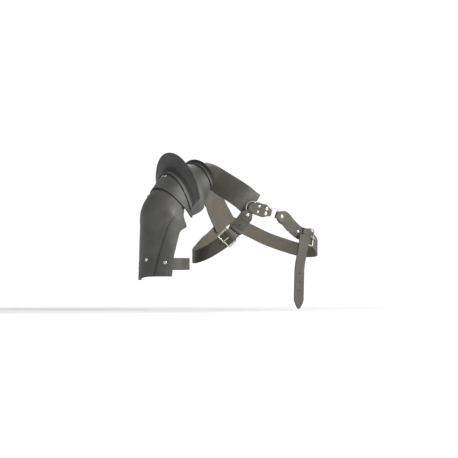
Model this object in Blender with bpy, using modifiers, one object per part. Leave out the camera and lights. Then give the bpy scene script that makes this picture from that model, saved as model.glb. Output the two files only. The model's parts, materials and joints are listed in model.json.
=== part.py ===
"""A leather pauldron for the right shoulder, with the harness that holds it on.

Metres, +Z up. The wearer faces -Y, so the wearer's right arm is on the -X side.
The origin is the shoulder seat, the point of the shoulder that the guard sits on.

The shoulder set follows one form: arcs that run from the wearer's front over the
shoulder to the back, level round the arm at the bottom and upright at the neck.
The harness straps lie on an upright oval, the wearer's chest and back.
"""

import math

import bmesh
import bpy
from mathutils import Matrix, Vector

# Leather walls and the clearances between layers
LAME_WALL = 0.003
STRAP_WALL = 0.0025
LAYER_GAP = 0.00095
LAME_GAP = 0.0009
FOOT_GAP = 0.0018
SEAT_GAP = 0.0003
SEAT_RISE = 0.0040
SEAT_INSET = 0.016

# Straps
STRAP_WIDTH = 0.035
ARM_STRAP_WIDTH = 0.0315
SHOULDER_STRAP_WIDTH = 0.067
SHOULDER_STRAP_CURL = 0.20
FOLD_HALF_WIDTH = 0.0088
FOLD_FLARE = 0.6
FREE_TAIL_LENGTH = 0.198
TAIL_POINT = 0.022
FOLDED_UNDER = 0.014
FOLD_BEFORE_HEEL = (0.016, 0.003)
LAP_RISE = (0.115, 0.100, 0.082)
BACK_RIVET_INSET = 0.012
KEEPER_INSET = 0.020
LOW_RIVET_INSET = 0.034

# The shoulder set: the arm's radius, the lengths of the guard and its parts
ARM_RADIUS = 0.068
GUARD_LENGTH = 0.262
GUARD_DROOP = 0.010
DROOP_ANGLES = (math.radians(-24), math.radians(50))
SHOULDER_TURN = math.radians(20)
ARM_OUT = 0.0985
ARM_FORWARD = 0.019
SEAM_LAP = math.radians(9)
FOOT_WIDTH_SHARE = 0.14

# The wearer's chest, as an oval
CHEST_HALF_WIDTH = 0.172
CHEST_HALF_DEPTH = 0.108
CHEST_OFFSET = 0.165

# Metal
WIRE = 0.004
RING_RADIUS = 0.016
BUCKLE_LENGTH = 0.026
BUCKLE_WIDTH = 0.0425
BUCKLE_CORNER = 0.003
HEEL_TAPER = 0.0025
TIP_BAR_RISE = 0.0012
PRONG_WIRE = 0.003
RIVET_RADIUS = 0.0048
SMALL_RIVET_RADIUS = 0.0034
RIVET_HEIGHT_SHARE = 0.5
KEEPER_LENGTH = 0.010
KEEPER_WALL = 0.002
BACK_RIVETS_ACROSS = (-0.009, 0.009)
FLAP_RIVETS_ACROSS = 0.0080
TAB_RIVETS_ACROSS = 0.0065

# How finely the shapes are faceted
ARC_STEP = math.radians(9)
ROUTE_STEP = 0.0125
ROUTE_FINE = 8
BEND_STEPS = 5
RING_STEPS = 24
RIVET_SIDES = 10

# Arcs of the shoulder form, in shares of ARM_RADIUS: the arc's middle (out along the arm's side,
# up), how far its crown stands from that middle (out, up) and its half width, front to back.
# The lowest three are placed by shares of GUARD_LENGTH in their "up" column instead.
LOW_ARCS = (
    # out, up (share of GUARD_LENGTH), crown out, crown up, half width
    (0.06, -1.000, 1.06, 0.00, 1.06),
    (0.02, -0.763, 1.015, 0.00, 1.015),
    (0.00, -0.534, 0.993, 0.00, 0.993),
)
HIGH_ARCS = (
    # out, up, crown out, crown up, half width
    (0.000, -1.691, 0.971, 0.368, 1.000),
    (-0.176, -1.647, 0.941, 0.838, 0.985),
    (-0.441, -1.566, 0.882, 1.125, 0.941),
    (-0.471, -1.176, 0.331, 1.324, 0.853),
    (-1.029, -1.147, 0.441, 1.441, 1.059),
    (-1.353, -0.706, 0.294, 1.206, 0.941),
    (-1.603, -0.235, 0.147, 0.735, 0.853),
)
OUTER_FAN_ARC = (-0.662, -0.588, 0.476, 1.574, 1.206)
INNER_FAN_ARC = (-1.662, -0.147, 0.162, 0.868, 0.970)

# Where the pieces begin and end along the form, as arc numbers
GUARD_TOP = 5.35
LAME_LOW, LAME_ROOT, LAME_HIGH = 5.0, 6.0, 7.0
DOME_LOW, DOME_HIGH = 6.65, 9.0

# The arm guard's seam and free edge, as angles from its outer side at each arc number
SEAM_LINE = (
    (0.0, 24),
    (1.0, 33),
    (2.0, 48),
    (2.45, 55),
    (2.8, 63),
    (3.7, 69),
    (4.65, 68),
    (5.35, 66),
)
GUARD_EDGE = (
    (0.0, 65),
    (0.8, 68),
    (1.5, 77),
    (1.93, 85),
    (2.3, 107),
    (3.0, 103),
    (4.0, 87),
    (4.6, 76),
    (5.35, 72),
)
FAN_ENDS = (math.radians(92), math.radians(98))
LAME_ENDS = (math.radians(90), math.radians(104), math.radians(90))

LEATHER = (0.080, 0.078, 0.070, 1.0)
DARK_LEATHER = (0.050, 0.049, 0.047, 1.0)
NICKEL = (0.66, 0.65, 0.60, 1.0)


def clear_scene():
    for obj in list(bpy.data.objects):
        bpy.data.objects.remove(obj, do_unlink=True)


def new_collection(name):
    found = bpy.data.collections.new(name)
    bpy.context.scene.collection.children.link(found)
    return found


def new_material(name, colour, roughness, metallic):
    made = bpy.data.materials.new(name)
    made.use_nodes = True
    shader = made.node_tree.nodes["Principled BSDF"]
    shader.inputs["Base Color"].default_value = colour
    shader.inputs["Roughness"].default_value = roughness
    shader.inputs["Metallic"].default_value = metallic
    return made


clear_scene()
PARTS = new_collection("pauldron")


def leather(name, colour=LEATHER):
    return new_material(name, colour, 0.55, 0.0)


def metal(name):
    return new_material(name, NICKEL, 0.28, 1.0)


def add_object(name, data, material):
    obj = bpy.data.objects.new(name, data)
    obj.data.materials.append(material)
    PARTS.objects.link(obj)
    return obj


def mix(first, last, share):
    return first + (last - first) * share


def ease(value, start, end):
    share = min(1.0, max(0.0, (value - start) / (end - start)))
    return share * share * (3 - 2 * share)


def catmull(before, first, last, after, share):
    """The point at a share of the way from first to last on a smooth curve through all four."""
    return 0.5 * (
        2 * first
        + (last - before) * share
        + (2 * before - 5 * first + 4 * last - after) * share**2
        + (3 * first - before - 3 * last + after) * share**3
    )


def smooth_at(values, place):
    """Reads a smooth curve through a list of numbers or vectors at a fractional index."""
    index = max(0, min(len(values) - 2, math.floor(place)))
    first, last = values[index], values[index + 1]
    before = values[index - 1] if index > 0 else 2 * first - last
    after = values[index + 2] if index + 2 < len(values) else 2 * last - first
    return catmull(before, first, last, after, place - index)


def straight_at(table, place):
    """Reads a table of (place, value) rows by straight lines between them."""
    if place <= table[0][0]:
        return table[0][1]
    for (start, first), (end, last) in zip(table, table[1:]):
        if place <= end:
            return mix(first, last, (place - start) / (end - start))
    return table[-1][1]


def steps(start, end, largest):
    """Evenly spaced values from start to end, no further apart than largest."""
    count = max(1, math.ceil(abs(end - start) / largest - 1e-6))
    return [mix(start, end, i / count) for i in range(count + 1)]


def sheet(name, rows, wall, material, closed=False):
    """A leather or metal sheet of even wall: a surface through rows of points, thickened."""
    mesh = bpy.data.meshes.new(name)
    build = bmesh.new()
    grid = [[build.verts.new(point) for point in row] for row in rows]
    pairs = list(zip(grid, grid[1:]))
    if closed:
        pairs.append((grid[-1], grid[0]))
    for low, high in pairs:
        for i in range(len(low) - 1):
            build.faces.new((low[i], low[i + 1], high[i + 1], high[i]))
    build.to_mesh(mesh)
    build.free()
    obj = add_object(name, mesh, material)
    thick = obj.modifiers.new("wall", "SOLIDIFY")
    thick.thickness = wall
    thick.offset = 0.0
    thick.use_even_offset = True
    thick.use_quality_normals = True
    mesh.shade_smooth()
    mesh.set_sharp_from_angle(angle=math.radians(50))
    return obj


def wire_ring(name, points, thickness, material, closed=True):
    """A bent wire through the points, of round section."""
    curve = bpy.data.curves.new(name, "CURVE")
    curve.dimensions = "3D"
    curve.bevel_depth = thickness / 2
    curve.bevel_resolution = 2
    curve.use_fill_caps = not closed
    spline = curve.splines.new("POLY")
    spline.points.add(len(points) - 1)
    for spot, point in zip(spline.points, points):
        spot.co = (*point, 1.0)
    spline.use_cyclic_u = closed
    return add_object(name, curve, material)


# The shoulder form

FORM_ARCS = [
    (out * ARM_RADIUS, up * GUARD_LENGTH, crown_out * ARM_RADIUS, crown_up * ARM_RADIUS, half * ARM_RADIUS)
    for out, up, crown_out, crown_up, half in LOW_ARCS
] + [tuple(value * ARM_RADIUS for value in arc) for arc in HIGH_ARCS]

OUTWARD = Vector((-math.cos(SHOULDER_TURN), -math.sin(SHOULDER_TURN), 0))
FORWARD = Vector((math.sin(SHOULDER_TURN), -math.cos(SHOULDER_TURN), 0))
ARM_AXIS = Vector((-ARM_OUT, -ARM_FORWARD, 0))


def place(out, forward, up):
    """A point in the shoulder set's own directions, in the part's frame."""
    return ARM_AXIS + out * OUTWARD + forward * FORWARD + Vector((0, 0, up))


def arc_point(arc, angle):
    out, up, crown_out, crown_up, half = arc
    crown = math.cos(angle)
    return place(out + crown_out * crown, half * math.sin(angle), up + crown_up * crown)


def form_middle(number, angle):
    columns = zip(*FORM_ARCS)
    return arc_point([smooth_at(column, number) for column in columns], angle)


def form(number, angle, layer=0.0):
    """A point of the shoulder form: at an arc number and an angle from its crown, positive to the
    front, and a height above the form's own surface."""
    small = 0.01
    point = form_middle(number, angle)
    if not layer:
        return point
    return point + layer * form_normal(number, angle, small)


def form_normal(number, angle, small=0.01):
    up_along = form_middle(number + small, angle) - form_middle(number - small, angle)
    forward_along = form_middle(number, angle + small) - form_middle(number, angle - small)
    return forward_along.cross(up_along).normalized()


UNDER_LAYER = -(LAME_WALL + LAME_GAP)
OVER_LAYER = LAME_WALL + LAME_GAP
FOOT_LAYER = OVER_LAYER + LAME_WALL + FOOT_GAP


def guard_panel(name, side, material):
    """One panel of the arm guard: side 0 is the centre panel, 1 the front and -1 the back."""
    numbers = steps(0.0, 1.6, 0.4) + steps(1.93, 2.3, 0.19) + steps(2.6, GUARD_TOP, 0.5)
    layer = 0.0 if side == 0 else UNDER_LAYER
    rows = []
    for number in numbers:
        seam = math.radians(straight_at(SEAM_LINE, number))
        edge = math.radians(straight_at(GUARD_EDGE, number))
        low, high = (-seam, seam) if side == 0 else (min(seam, edge - SEAM_LAP) - SEAM_LAP, edge)
        count = 16 if side == 0 else 5
        row = []
        for i in range(count + 1):
            angle = mix(low, high, i / count)
            turned = angle * (side or 1)
            droop = GUARD_DROOP * ease(-turned, *DROOP_ANGLES) * (1 - ease(number, 0.0, 1.0))
            row.append(form(number, turned, layer) - Vector((0, 0, droop)))
        rows.append(row if side >= 0 else row[::-1])
    return sheet(name, rows, LAME_WALL, material)


def lame(name, numbers, ends, layer, material):
    """A curved band over the shoulder, its ends at an angle that changes across the band."""
    rows = []
    for number in numbers:
        share = (number - numbers[0]) / (numbers[-1] - numbers[0])
        end = smooth_at(ends, share * (len(ends) - 1))
        count = 2 * math.ceil(math.radians(90) / ARC_STEP)
        rows.append([form(number, mix(-end, end, i / count), layer) for i in range(count + 1)])
    return sheet(name, rows, LAME_WALL, material)


def standing_fan(name, root, fan_arc, layer, hollow, material):
    """A plate that stands up from a lame: a foot lies on the lame, then a hollow bend, then the fan
    up to its free edge."""
    fan = tuple(value * ARM_RADIUS for value in fan_arc)
    count = 2 * math.ceil(FAN_ENDS[0] / ARC_STEP)
    rows = []
    shares = (0.0, 0.12, 0.3, 0.55, 0.8, 1.0)
    for foot in (root - FOOT_WIDTH_SHARE, root - FOOT_WIDTH_SHARE / 2, root):
        rows.append([form(foot, FAN_ENDS[0] * (2 * i / count - 1), layer) for i in range(count + 1)])
    for share in shares[1:]:
        row = []
        for i in range(count + 1):
            turn = 2 * i / count - 1
            low = form(root, FAN_ENDS[0] * turn, layer)
            high = arc_point(fan, FAN_ENDS[1] * turn)
            along = form(root + 0.01, FAN_ENDS[0] * turn, layer) - form(root - 0.01, FAN_ENDS[0] * turn, layer)
            bow = low + along.normalized() * (high - low).length * hollow
            row.append((1 - share) ** 2 * low + 2 * share * (1 - share) * bow + share**2 * high)
        rows.append(row)
    return sheet(name, rows, LAME_WALL, material)


# Routes: lines on the wearer that straps follow


class Route:
    """A line with a surface normal at each point, read by the distance along it."""

    def __init__(self, points, normals):
        self.points, self.normals, self.places = points, normals, [0.0]
        for first, last in zip(points, points[1:]):
            self.places.append(self.places[-1] + (last - first).length)
        self.length = self.places[-1]

    def at(self, distance):
        """(point, direction, side, normal) at a distance along the line, also past its ends."""
        index = 0
        while index < len(self.places) - 2 and self.places[index + 1] < distance:
            index += 1
        first, last = self.points[index], self.points[index + 1]
        share = (distance - self.places[index]) / (last - first).length
        inside = min(1.0, max(0.0, share))
        point = first.lerp(last, share)
        normal = self.normals[index].lerp(self.normals[index + 1], inside).normalized()
        before = self.points[max(0, index - 1)] if inside < 0.5 else first
        after = last if inside < 0.5 else self.points[min(len(self.points) - 1, index + 2)]
        direction = (last - first).normalized() + 0.5 * (after - before).normalized()
        direction = (direction - direction.dot(normal) * normal).normalized()
        return point, direction, direction.cross(normal), normal

    def spot(self, distance, lift, across=0.0):
        point, _, side, normal = self.at(distance)
        return point + lift * normal + across * side

    def frame(self, distance, lift, across=0.0):
        """Axes at a spot, for a part that lies there: X across, Y along, Z away from the wearer."""
        point, direction, side, normal = self.at(distance)
        axes = Matrix((side, direction, normal)).transposed().to_4x4()
        return Matrix.Translation(point + lift * normal + across * side) @ axes


def chest(angle, height):
    """(point, normal) of the oval at an angle from the front centre, positive to the wearer's left."""
    point = Vector(
        (
            CHEST_OFFSET + CHEST_HALF_WIDTH * math.sin(angle),
            -CHEST_HALF_DEPTH * math.cos(angle),
            height,
        )
    )
    normal = Vector((math.sin(angle) / CHEST_HALF_WIDTH, -math.cos(angle) / CHEST_HALF_DEPTH, 0))
    return point, normal.normalized()


def chest_route(table):
    """A route through rows of (degrees round the chest, height in shares of GUARD_LENGTH)."""
    rows = [Vector((math.radians(angle), height * GUARD_LENGTH)) for angle, height in table]
    points, normals = [], []
    for i in range((len(rows) - 1) * ROUTE_FINE + 1):
        angle, height = smooth_at(rows, i / ROUTE_FINE)
        point, normal = chest(angle, height)
        points.append(point)
        normals.append(normal)
    return Route(points, normals)


def arm_route(height, radius_layer, start, end):
    """A route level round the arm, on the guard's outside, from one angle to another."""
    number = (height / GUARD_LENGTH - LOW_ARCS[0][1]) / (LOW_ARCS[1][1] - LOW_ARCS[0][1])
    points, normals = [], []
    for angle in steps(start, end, math.radians(4)):
        normals.append(form_normal(number, angle))
        points.append(form(number, angle) + radius_layer * normals[-1])
    return Route(points, normals)


def bend(centre, radius, start, end):
    """Points of a strap's bend in (distance, lift), from one angle to another, in degrees."""
    return [
        (
            centre[0] + radius * math.cos(math.radians(mix(start, end, i / BEND_STEPS))),
            centre[1] + radius * math.sin(math.radians(mix(start, end, i / BEND_STEPS))),
        )
        for i in range(BEND_STEPS + 1)
    ]


def smooth_profile(knots, fine=4):
    vectors = [Vector(knot) for knot in knots]
    return [tuple(smooth_at(vectors, i / fine)) for i in range((len(vectors) - 1) * fine + 1)]


def strap(name, route, profile, width, wall, material, curl=None):
    """A strap that follows a route. The profile is (distance, lift) points; width may be a function,
    and curl is the radius of its bend across, where it has one."""
    rows = []
    shares = (-1, -0.5, 0, 0.5, 1) if curl else (-1, 1)
    for distance, lift in profile:
        half = (width(distance) if callable(width) else width) / 2
        row = []
        for share in shares:
            drop = (half * share) ** 2 / (2 * curl) if curl else 0.0
            row.append(route.spot(distance, lift - drop, half * share))
        rows.append(row)
    return sheet(name, rows, wall, material)


LOOP_RADIUS = WIRE / 2 + LAYER_GAP + STRAP_WALL / 2
LOOP_SPLIT = 2 * LOOP_RADIUS
PAIR_SPLIT = STRAP_WALL + SEAT_GAP
BASE_LIFT = STRAP_WALL / 2 + SEAT_GAP
RAISED_LIFT = LAME_WALL + SEAT_GAP + STRAP_WALL / 2 + SEAT_GAP
RING_BEND = math.sqrt(RING_RADIUS**2 - FOLD_HALF_WIDTH**2) - 2 * LAYER_GAP
RING_RIVET = RING_RADIUS + WIRE / 2 + SEAT_GAP + RIVET_RADIUS


class Doubled:
    """A strap folded round something at each end. Its lower layer sinks from the first lift to the
    last between two places, and its upper layer closes down on the lower one between its ends."""

    def __init__(self, route, start, end, lifts, sinks, closes=None):
        self.route, self.start, self.end = route, start, end
        self.lifts, self.sinks, self.closes = lifts, sinks, closes

    def low(self, distance):
        return mix(*self.lifts, ease(distance, *self.sinks))

    def high(self, distance):
        apart = 1.0
        if self.closes:
            first, last = self.closes
            apart -= ease(distance, *first) - ease(distance, *last)
        return self.low(distance) + mix(PAIR_SPLIT, LOOP_SPLIT, apart)

    def profile(self):
        middle = (self.start + self.end) / 2
        gap = 2 * SEAT_GAP
        step = ROUTE_STEP / 2
        radius = LOOP_SPLIT / 2
        points = [(d, self.low(d)) for d in steps(middle - gap, self.start, step)]
        points += bend((self.start, self.low(self.start) + radius), radius, 270, 90)[1:]
        points += [(d, self.high(d)) for d in steps(self.start, self.end, step)[1:]]
        points += bend((self.end, self.low(self.end) + radius), radius, 90, -90)[1:]
        points += [(d, self.low(d)) for d in steps(self.end, middle + gap, step)[1:]]
        return points


def ring_end_width(far=None, heel=None):
    """A width that narrows to the fold inside a ring at distance 0, and at far too if given, and a
    little towards a buckle's heel bar."""

    def width(distance):
        room = distance if far is None else min(distance, far - distance)
        taper = ease(distance, heel - BUCKLE_LENGTH / 3, heel) if heel else 0.0
        flared = FOLD_HALF_WIDTH + FOLD_FLARE * max(0.0, room - RING_BEND)
        return min(STRAP_WIDTH - HEEL_TAPER * taper, 2 * flared)

    return width


def ring(name, route, distance, lift, material):
    axes = route.frame(distance, lift)
    points = []
    for i in range(RING_STEPS):
        turn = 2 * math.pi * i / RING_STEPS
        points.append(axes @ Vector((RING_RADIUS * math.cos(turn), RING_RADIUS * math.sin(turn), 0)))
    return wire_ring(name, points, WIRE, material)


def buckle(name, route, heel, lift, material):
    """A rectangular wire frame whose heel bar lies at a distance along the route."""
    first = route.spot(heel, lift)
    last = route.spot(heel + BUCKLE_LENGTH, lift + TIP_BAR_RISE)
    side = route.at(heel)[2]
    along = last - first
    along = (along - along.dot(side) * side).normalized()
    centre = (first + last) / 2
    half_wide, half_long = BUCKLE_WIDTH / 2, (last - first).length / 2
    points = []
    for right, ahead, start in ((1, 1, 0), (-1, 1, 90), (-1, -1, 180), (1, -1, 270)):
        for i in range(4):
            turn = math.radians(start + 30 * i)
            across = right * (half_wide - BUCKLE_CORNER) + BUCKLE_CORNER * math.cos(turn)
            forward = ahead * (half_long - BUCKLE_CORNER) + BUCKLE_CORNER * math.sin(turn)
            points.append(centre + across * side + forward * along)
    return wire_ring(name, points, WIRE, material)


def buckled_profile(heel, base, tail_start, over, end, after=()):
    """The (distance, lift) line of a strap through a buckle: its tail from tail_start on the billet,
    over the heel bar, down through the frame, under the tip bar and on to the strap's end."""
    tip = heel + BUCKLE_LENGTH
    bar = base + LOOP_RADIUS
    clear = LOOP_RADIUS + PAIR_SPLIT + 2 * SEAT_GAP
    turn = math.radians(40)
    fine = ROUTE_STEP / 3
    knots = [(d, over(d) + PAIR_SPLIT + 1.5 * SEAT_GAP) for d in steps(tail_start, heel - 0.003, fine)]
    knots += [
        (heel + 0.001, bar + clear),
        (heel + clear * math.sin(turn), bar + clear * math.cos(turn) + SEAT_GAP),
        (heel + 0.40 * BUCKLE_LENGTH, bar),
        (tip - 0.30 * BUCKLE_LENGTH, base + 2 * SEAT_GAP),
        (tip - 0.10 * BUCKLE_LENGTH, base),
        (tip + 0.10 * BUCKLE_LENGTH, base),
    ]
    knots += list(after)
    last = knots[-1]
    knots += [(d, last[1]) for d in steps(last[0], end, ROUTE_STEP)[1:]]
    return smooth_profile(knots, 2)


def prong(name, route, heel, base, material):
    """The buckle's prong, from the strap's hole to its rest on the tip bar."""
    bar = base + LOOP_RADIUS
    tip = heel + BUCKLE_LENGTH
    rest = bar + TIP_BAR_RISE + WIRE / 2 + 3 * SEAT_GAP + PRONG_WIRE / 2
    clear = LOOP_RADIUS + PAIR_SPLIT + SEAT_GAP + STRAP_WALL / 2 + PRONG_WIRE / 2 + 2 * SEAT_GAP
    turn = math.radians(48)
    line = [
        (heel + clear * math.sin(turn), bar + clear * math.cos(turn)),
        (heel + 0.55 * BUCKLE_LENGTH, bar + 0.0042),
        (tip - 0.2 * BUCKLE_LENGTH, rest),
        (tip + WIRE * 0.7, rest),
    ]
    return wire_ring(name, [route.spot(d, lift) for d, lift in line], PRONG_WIRE, material, False)


def keeper(name, route, distance, low, profile, width, material):
    """A closed leather loop round the strap's layers, from the lowest to the one with this profile."""
    high = max(lift for d, lift in profile if abs(d - distance) < KEEPER_LENGTH) + STRAP_WALL / 2
    half = width / 2 + KEEPER_WALL / 2 + SEAT_GAP
    bottom = low - KEEPER_WALL / 2 - SEAT_GAP
    top = high + KEEPER_WALL / 2 + SEAT_GAP
    corner = KEEPER_WALL * 0.8
    line = []
    for side, level, start in ((1, top, 0), (-1, top, 90), (-1, bottom, 180), (1, bottom, 270)):
        for i in range(3):
            turn = math.radians(start + 45 * i)
            inward = -1 if level == top else 1
            line.append(
                (
                    side * (half - corner) + corner * math.cos(turn),
                    level + inward * corner + corner * math.sin(turn),
                )
            )
    axes = route.frame(distance, 0.0)
    rows = []
    for across, lift in line:
        rows.append([axes @ Vector((across, d, lift)) for d in (-KEEPER_LENGTH / 2, KEEPER_LENGTH / 2)])
    return sheet(name, rows, KEEPER_WALL, material, closed=True)


def rivet(name, axes, radius, material):
    """A domed rivet head, standing on its axes' XY plane."""
    height = radius * RIVET_HEIGHT_SHARE
    profile = ((0, 1), (0.42, 0.93), (0.78, 0.62), (1, 0.18), (1, 0), (0, 0))
    mesh = bpy.data.meshes.new(name)
    points = [(radius * across, 0, height * up) for across, up in profile]
    mesh.from_pydata(points, [(i, i + 1) for i in range(len(points) - 1)], [])
    obj = add_object(name, mesh, material)
    turned = obj.modifiers.new("turn", "SCREW")
    turned.steps = RIVET_SIDES
    turned.render_steps = RIVET_SIDES
    turned.use_merge_vertices = True
    turned.merge_threshold = 1e-5
    obj.matrix_world = axes @ Matrix.Translation((0, 0, SEAT_GAP))
    return obj


def form_axes(number, angle, layer):
    """Axes on the shoulder form at the given height above it, Z outwards."""
    normal = form_normal(number, angle)
    turn = normal.to_track_quat("Z", "Y").to_matrix().to_4x4()
    return Matrix.Translation(form(number, angle) + layer * normal) @ turn


def pointed(route_end, length, width):
    """A width that narrows to a blunt point over the last length before route_end."""

    def at(distance):
        left = max(0.0, route_end - distance)
        return width * max(0.16, min(1.0, (left / length) ** 0.6))

    return at


def build_shoulder_set():
    hide = leather("guard_leather")
    guard_panel("arm_guard_centre", 0, hide)
    guard_panel("arm_guard_front", 1, leather("guard_front_leather"))
    guard_panel("arm_guard_back", -1, leather("guard_back_leather"))
    lame_rows = steps(LAME_LOW, LAME_HIGH, 0.25)
    lame("middle_lame", lame_rows, LAME_ENDS, OVER_LAYER, leather("middle_lame_leather"))
    dome_ends = (math.radians(86), math.radians(90), math.radians(90))
    dome_rows = steps(DOME_LOW, DOME_HIGH, 0.3)
    lame("upper_lame", dome_rows, dome_ends, 0.0, leather("upper_lame_leather"))
    dark = leather("fan_leather", DARK_LEATHER)
    standing_fan("outer_haute_piece", LAME_ROOT, OUTER_FAN_ARC, FOOT_LAYER, 0.35, dark)
    inner = leather("inner_fan_leather", DARK_LEATHER)
    standing_fan("inner_haute_piece", DOME_HIGH - 0.1, INNER_FAN_ARC, OVER_LAYER, 0.25, inner)


HANGER_LAYER = -(LAME_WALL + STRAP_WALL) / 2 - LAME_GAP


def build_hanger():
    half = math.asin(STRAP_WIDTH / 2 / ARM_RADIUS)
    rows = []
    for number in steps(LAME_LOW + 0.05, DOME_HIGH - 0.1, 0.2):
        rows.append([form(number, turn, HANGER_LAYER) for turn in steps(-half, half, ARC_STEP)])
    sheet("hanger_strap", rows, STRAP_WALL, leather("hanger_leather"))


# The harness

RING_1_SPOT = (-17.6, -0.303)
RING_2_SPOT = (1.8, -0.362)
BUCKLE_1_SPOT = (-40.6, -0.616)
BUCKLE_2_SPOT = (45.4, -0.596)
BACK_SPOT = (190.0, -0.450)
FLAP_ENDS = (-0.011, 0.0205)
FLAP_RIVET = 0.0150
RIGHT_TABLE = (
    # degrees round the chest, height in shares of GUARD_LENGTH
    RING_1_SPOT,
    (-28.0, -0.465),
    BUCKLE_1_SPOT,
    (-57.5, -0.724),
    (-75.0, -0.785),
    (-95.0, -0.802),
    (-120.0, -0.760),
    (-145.0, -0.640),
    (-159.0, -0.535),
    (-170.0, -0.450),
)
LEFT_TABLE = (
    RING_2_SPOT,
    (12.6, -0.412),
    (20.5, -0.485),
    (31.0, -0.560),
    BUCKLE_2_SPOT,
    (55.0, -0.640),
    (70.0, -0.700),
    (90.0, -0.735),
    (120.0, -0.730),
    (150.0, -0.640),
    (173.0, -0.520),
    BACK_SPOT,
)
JUNCTION_MARGIN = 0.015


def route_length_to(table, spot):
    """Distance along a table's route from its first row to the given one."""
    return chest_route(table[: table.index(spot) + 2]).places[table.index(spot) * ROUTE_FINE]


def shoulder_strap_route():
    """The broad strap's line, from its front end on the chest over the shoulder to its back end."""
    seat = form(DOME_HIGH - 0.2, 0.0, HANGER_LAYER - STRAP_WALL / 2 - LAME_WALL + SEAT_RISE)
    seat -= SEAT_INSET * OUTWARD
    front, front_normal = chest(math.radians(-15.2), -0.282 * GUARD_LENGTH)
    chest_spot, chest_normal = chest(math.radians(-19.3), -0.254 * GUARD_LENGTH)
    back, back_normal = chest(math.radians(194.0), -0.500 * GUARD_LENGTH)
    upper_back, upper_back_normal = chest(math.radians(203.0), -0.330 * GUARD_LENGTH)
    side, depth = CHEST_HALF_WIDTH, CHEST_HALF_DEPTH
    rows = (
        (front, front_normal),
        (chest_spot, chest_normal),
        (Vector((0.482 * side, -0.833 * depth, -0.167 * GUARD_LENGTH)), Vector((-0.40, -0.90, 0.18))),
        (Vector((0.259 * side, -0.278 * depth, -0.023 * GUARD_LENGTH)), Vector((-0.50, -0.76, 0.42))),
        (seat, Vector((-0.30, -0.02, 0.95))),
        (Vector((0.130 * side, 0.540 * depth, -0.004 * GUARD_LENGTH)), Vector((-0.40, 0.72, 0.50))),
        (Vector((0.460 * side, 0.880 * depth, -0.190 * GUARD_LENGTH)), Vector((-0.40, 0.90, 0.18))),
        (upper_back, upper_back_normal),
        (back, back_normal),
    )
    points, normals = [], []
    for i in range((len(rows) - 1) * ROUTE_FINE + 1):
        points.append(smooth_at([row[0] for row in rows], i / ROUTE_FINE))
        normals.append(smooth_at([row[1] for row in rows], i / ROUTE_FINE).normalized())
    return Route(points, normals)


def build_shoulder_strap():
    route = shoulder_strap_route()
    profile = [(d, LAME_WALL / 2) for d in steps(0.0, route.length, ROUTE_STEP)]
    hide = leather("shoulder_leather")
    width, curl = SHOULDER_STRAP_WIDTH, SHOULDER_STRAP_CURL
    return strap("shoulder_strap", route, profile, width, LAME_WALL, hide, curl)


def mid_spot(first, last):
    return ((first[0] + last[0]) / 2, (first[1] + last[1]) / 2)


def build_chest_tab():
    """The tab folded through both rings, the flap over the first ring, and two pairs of rivets."""
    route = chest_route((RING_1_SPOT, mid_spot(RING_1_SPOT, RING_2_SPOT), RING_2_SPOT))
    start, end = RING_BEND, route.length - RING_BEND
    tab = Doubled(route, start, end, (RAISED_LIFT, RAISED_LIFT), (start, end))
    width = ring_end_width(route.length)
    strap("chest_tab", route, tab.profile(), width, STRAP_WALL, leather("tab_leather"))
    flap_lift = tab.high(0.0) + PAIR_SPLIT + SEAT_GAP
    flap = [(d, flap_lift) for d in steps(*FLAP_ENDS, ROUTE_STEP / 2)]

    def flap_width(distance):
        return mix(2 * FOLD_HALF_WIDTH, STRAP_WIDTH, ease(distance, FLAP_ENDS[0], RING_BEND))

    strap("ring_flap", route, flap, flap_width, STRAP_WALL, leather("flap_leather"))
    nickel = metal("tab_rivet_nickel")
    big_spot = route.length - RING_RIVET
    for number, (distance, lift, across, radius) in enumerate(
        (
            (FLAP_RIVET, flap_lift, FLAP_RIVETS_ACROSS, SMALL_RIVET_RADIUS),
            (FLAP_RIVET, flap_lift, -FLAP_RIVETS_ACROSS, SMALL_RIVET_RADIUS),
            (big_spot, tab.high(big_spot), TAB_RIVETS_ACROSS, RIVET_RADIUS),
            (big_spot, tab.high(big_spot), -TAB_RIVETS_ACROSS, RIVET_RADIUS),
        )
    ):
        axes = route.frame(distance, lift + STRAP_WALL / 2, across)
        rivet(f"tab_rivet_{number + 1}", axes, radius, nickel)
    lift = RAISED_LIFT + LOOP_RADIUS
    ring("ring_1", route, 0.0, lift + SEAT_GAP, metal("ring_1_nickel"))
    ring("ring_2", route, route.length, lift + SEAT_GAP, metal("ring_2_nickel"))


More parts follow.
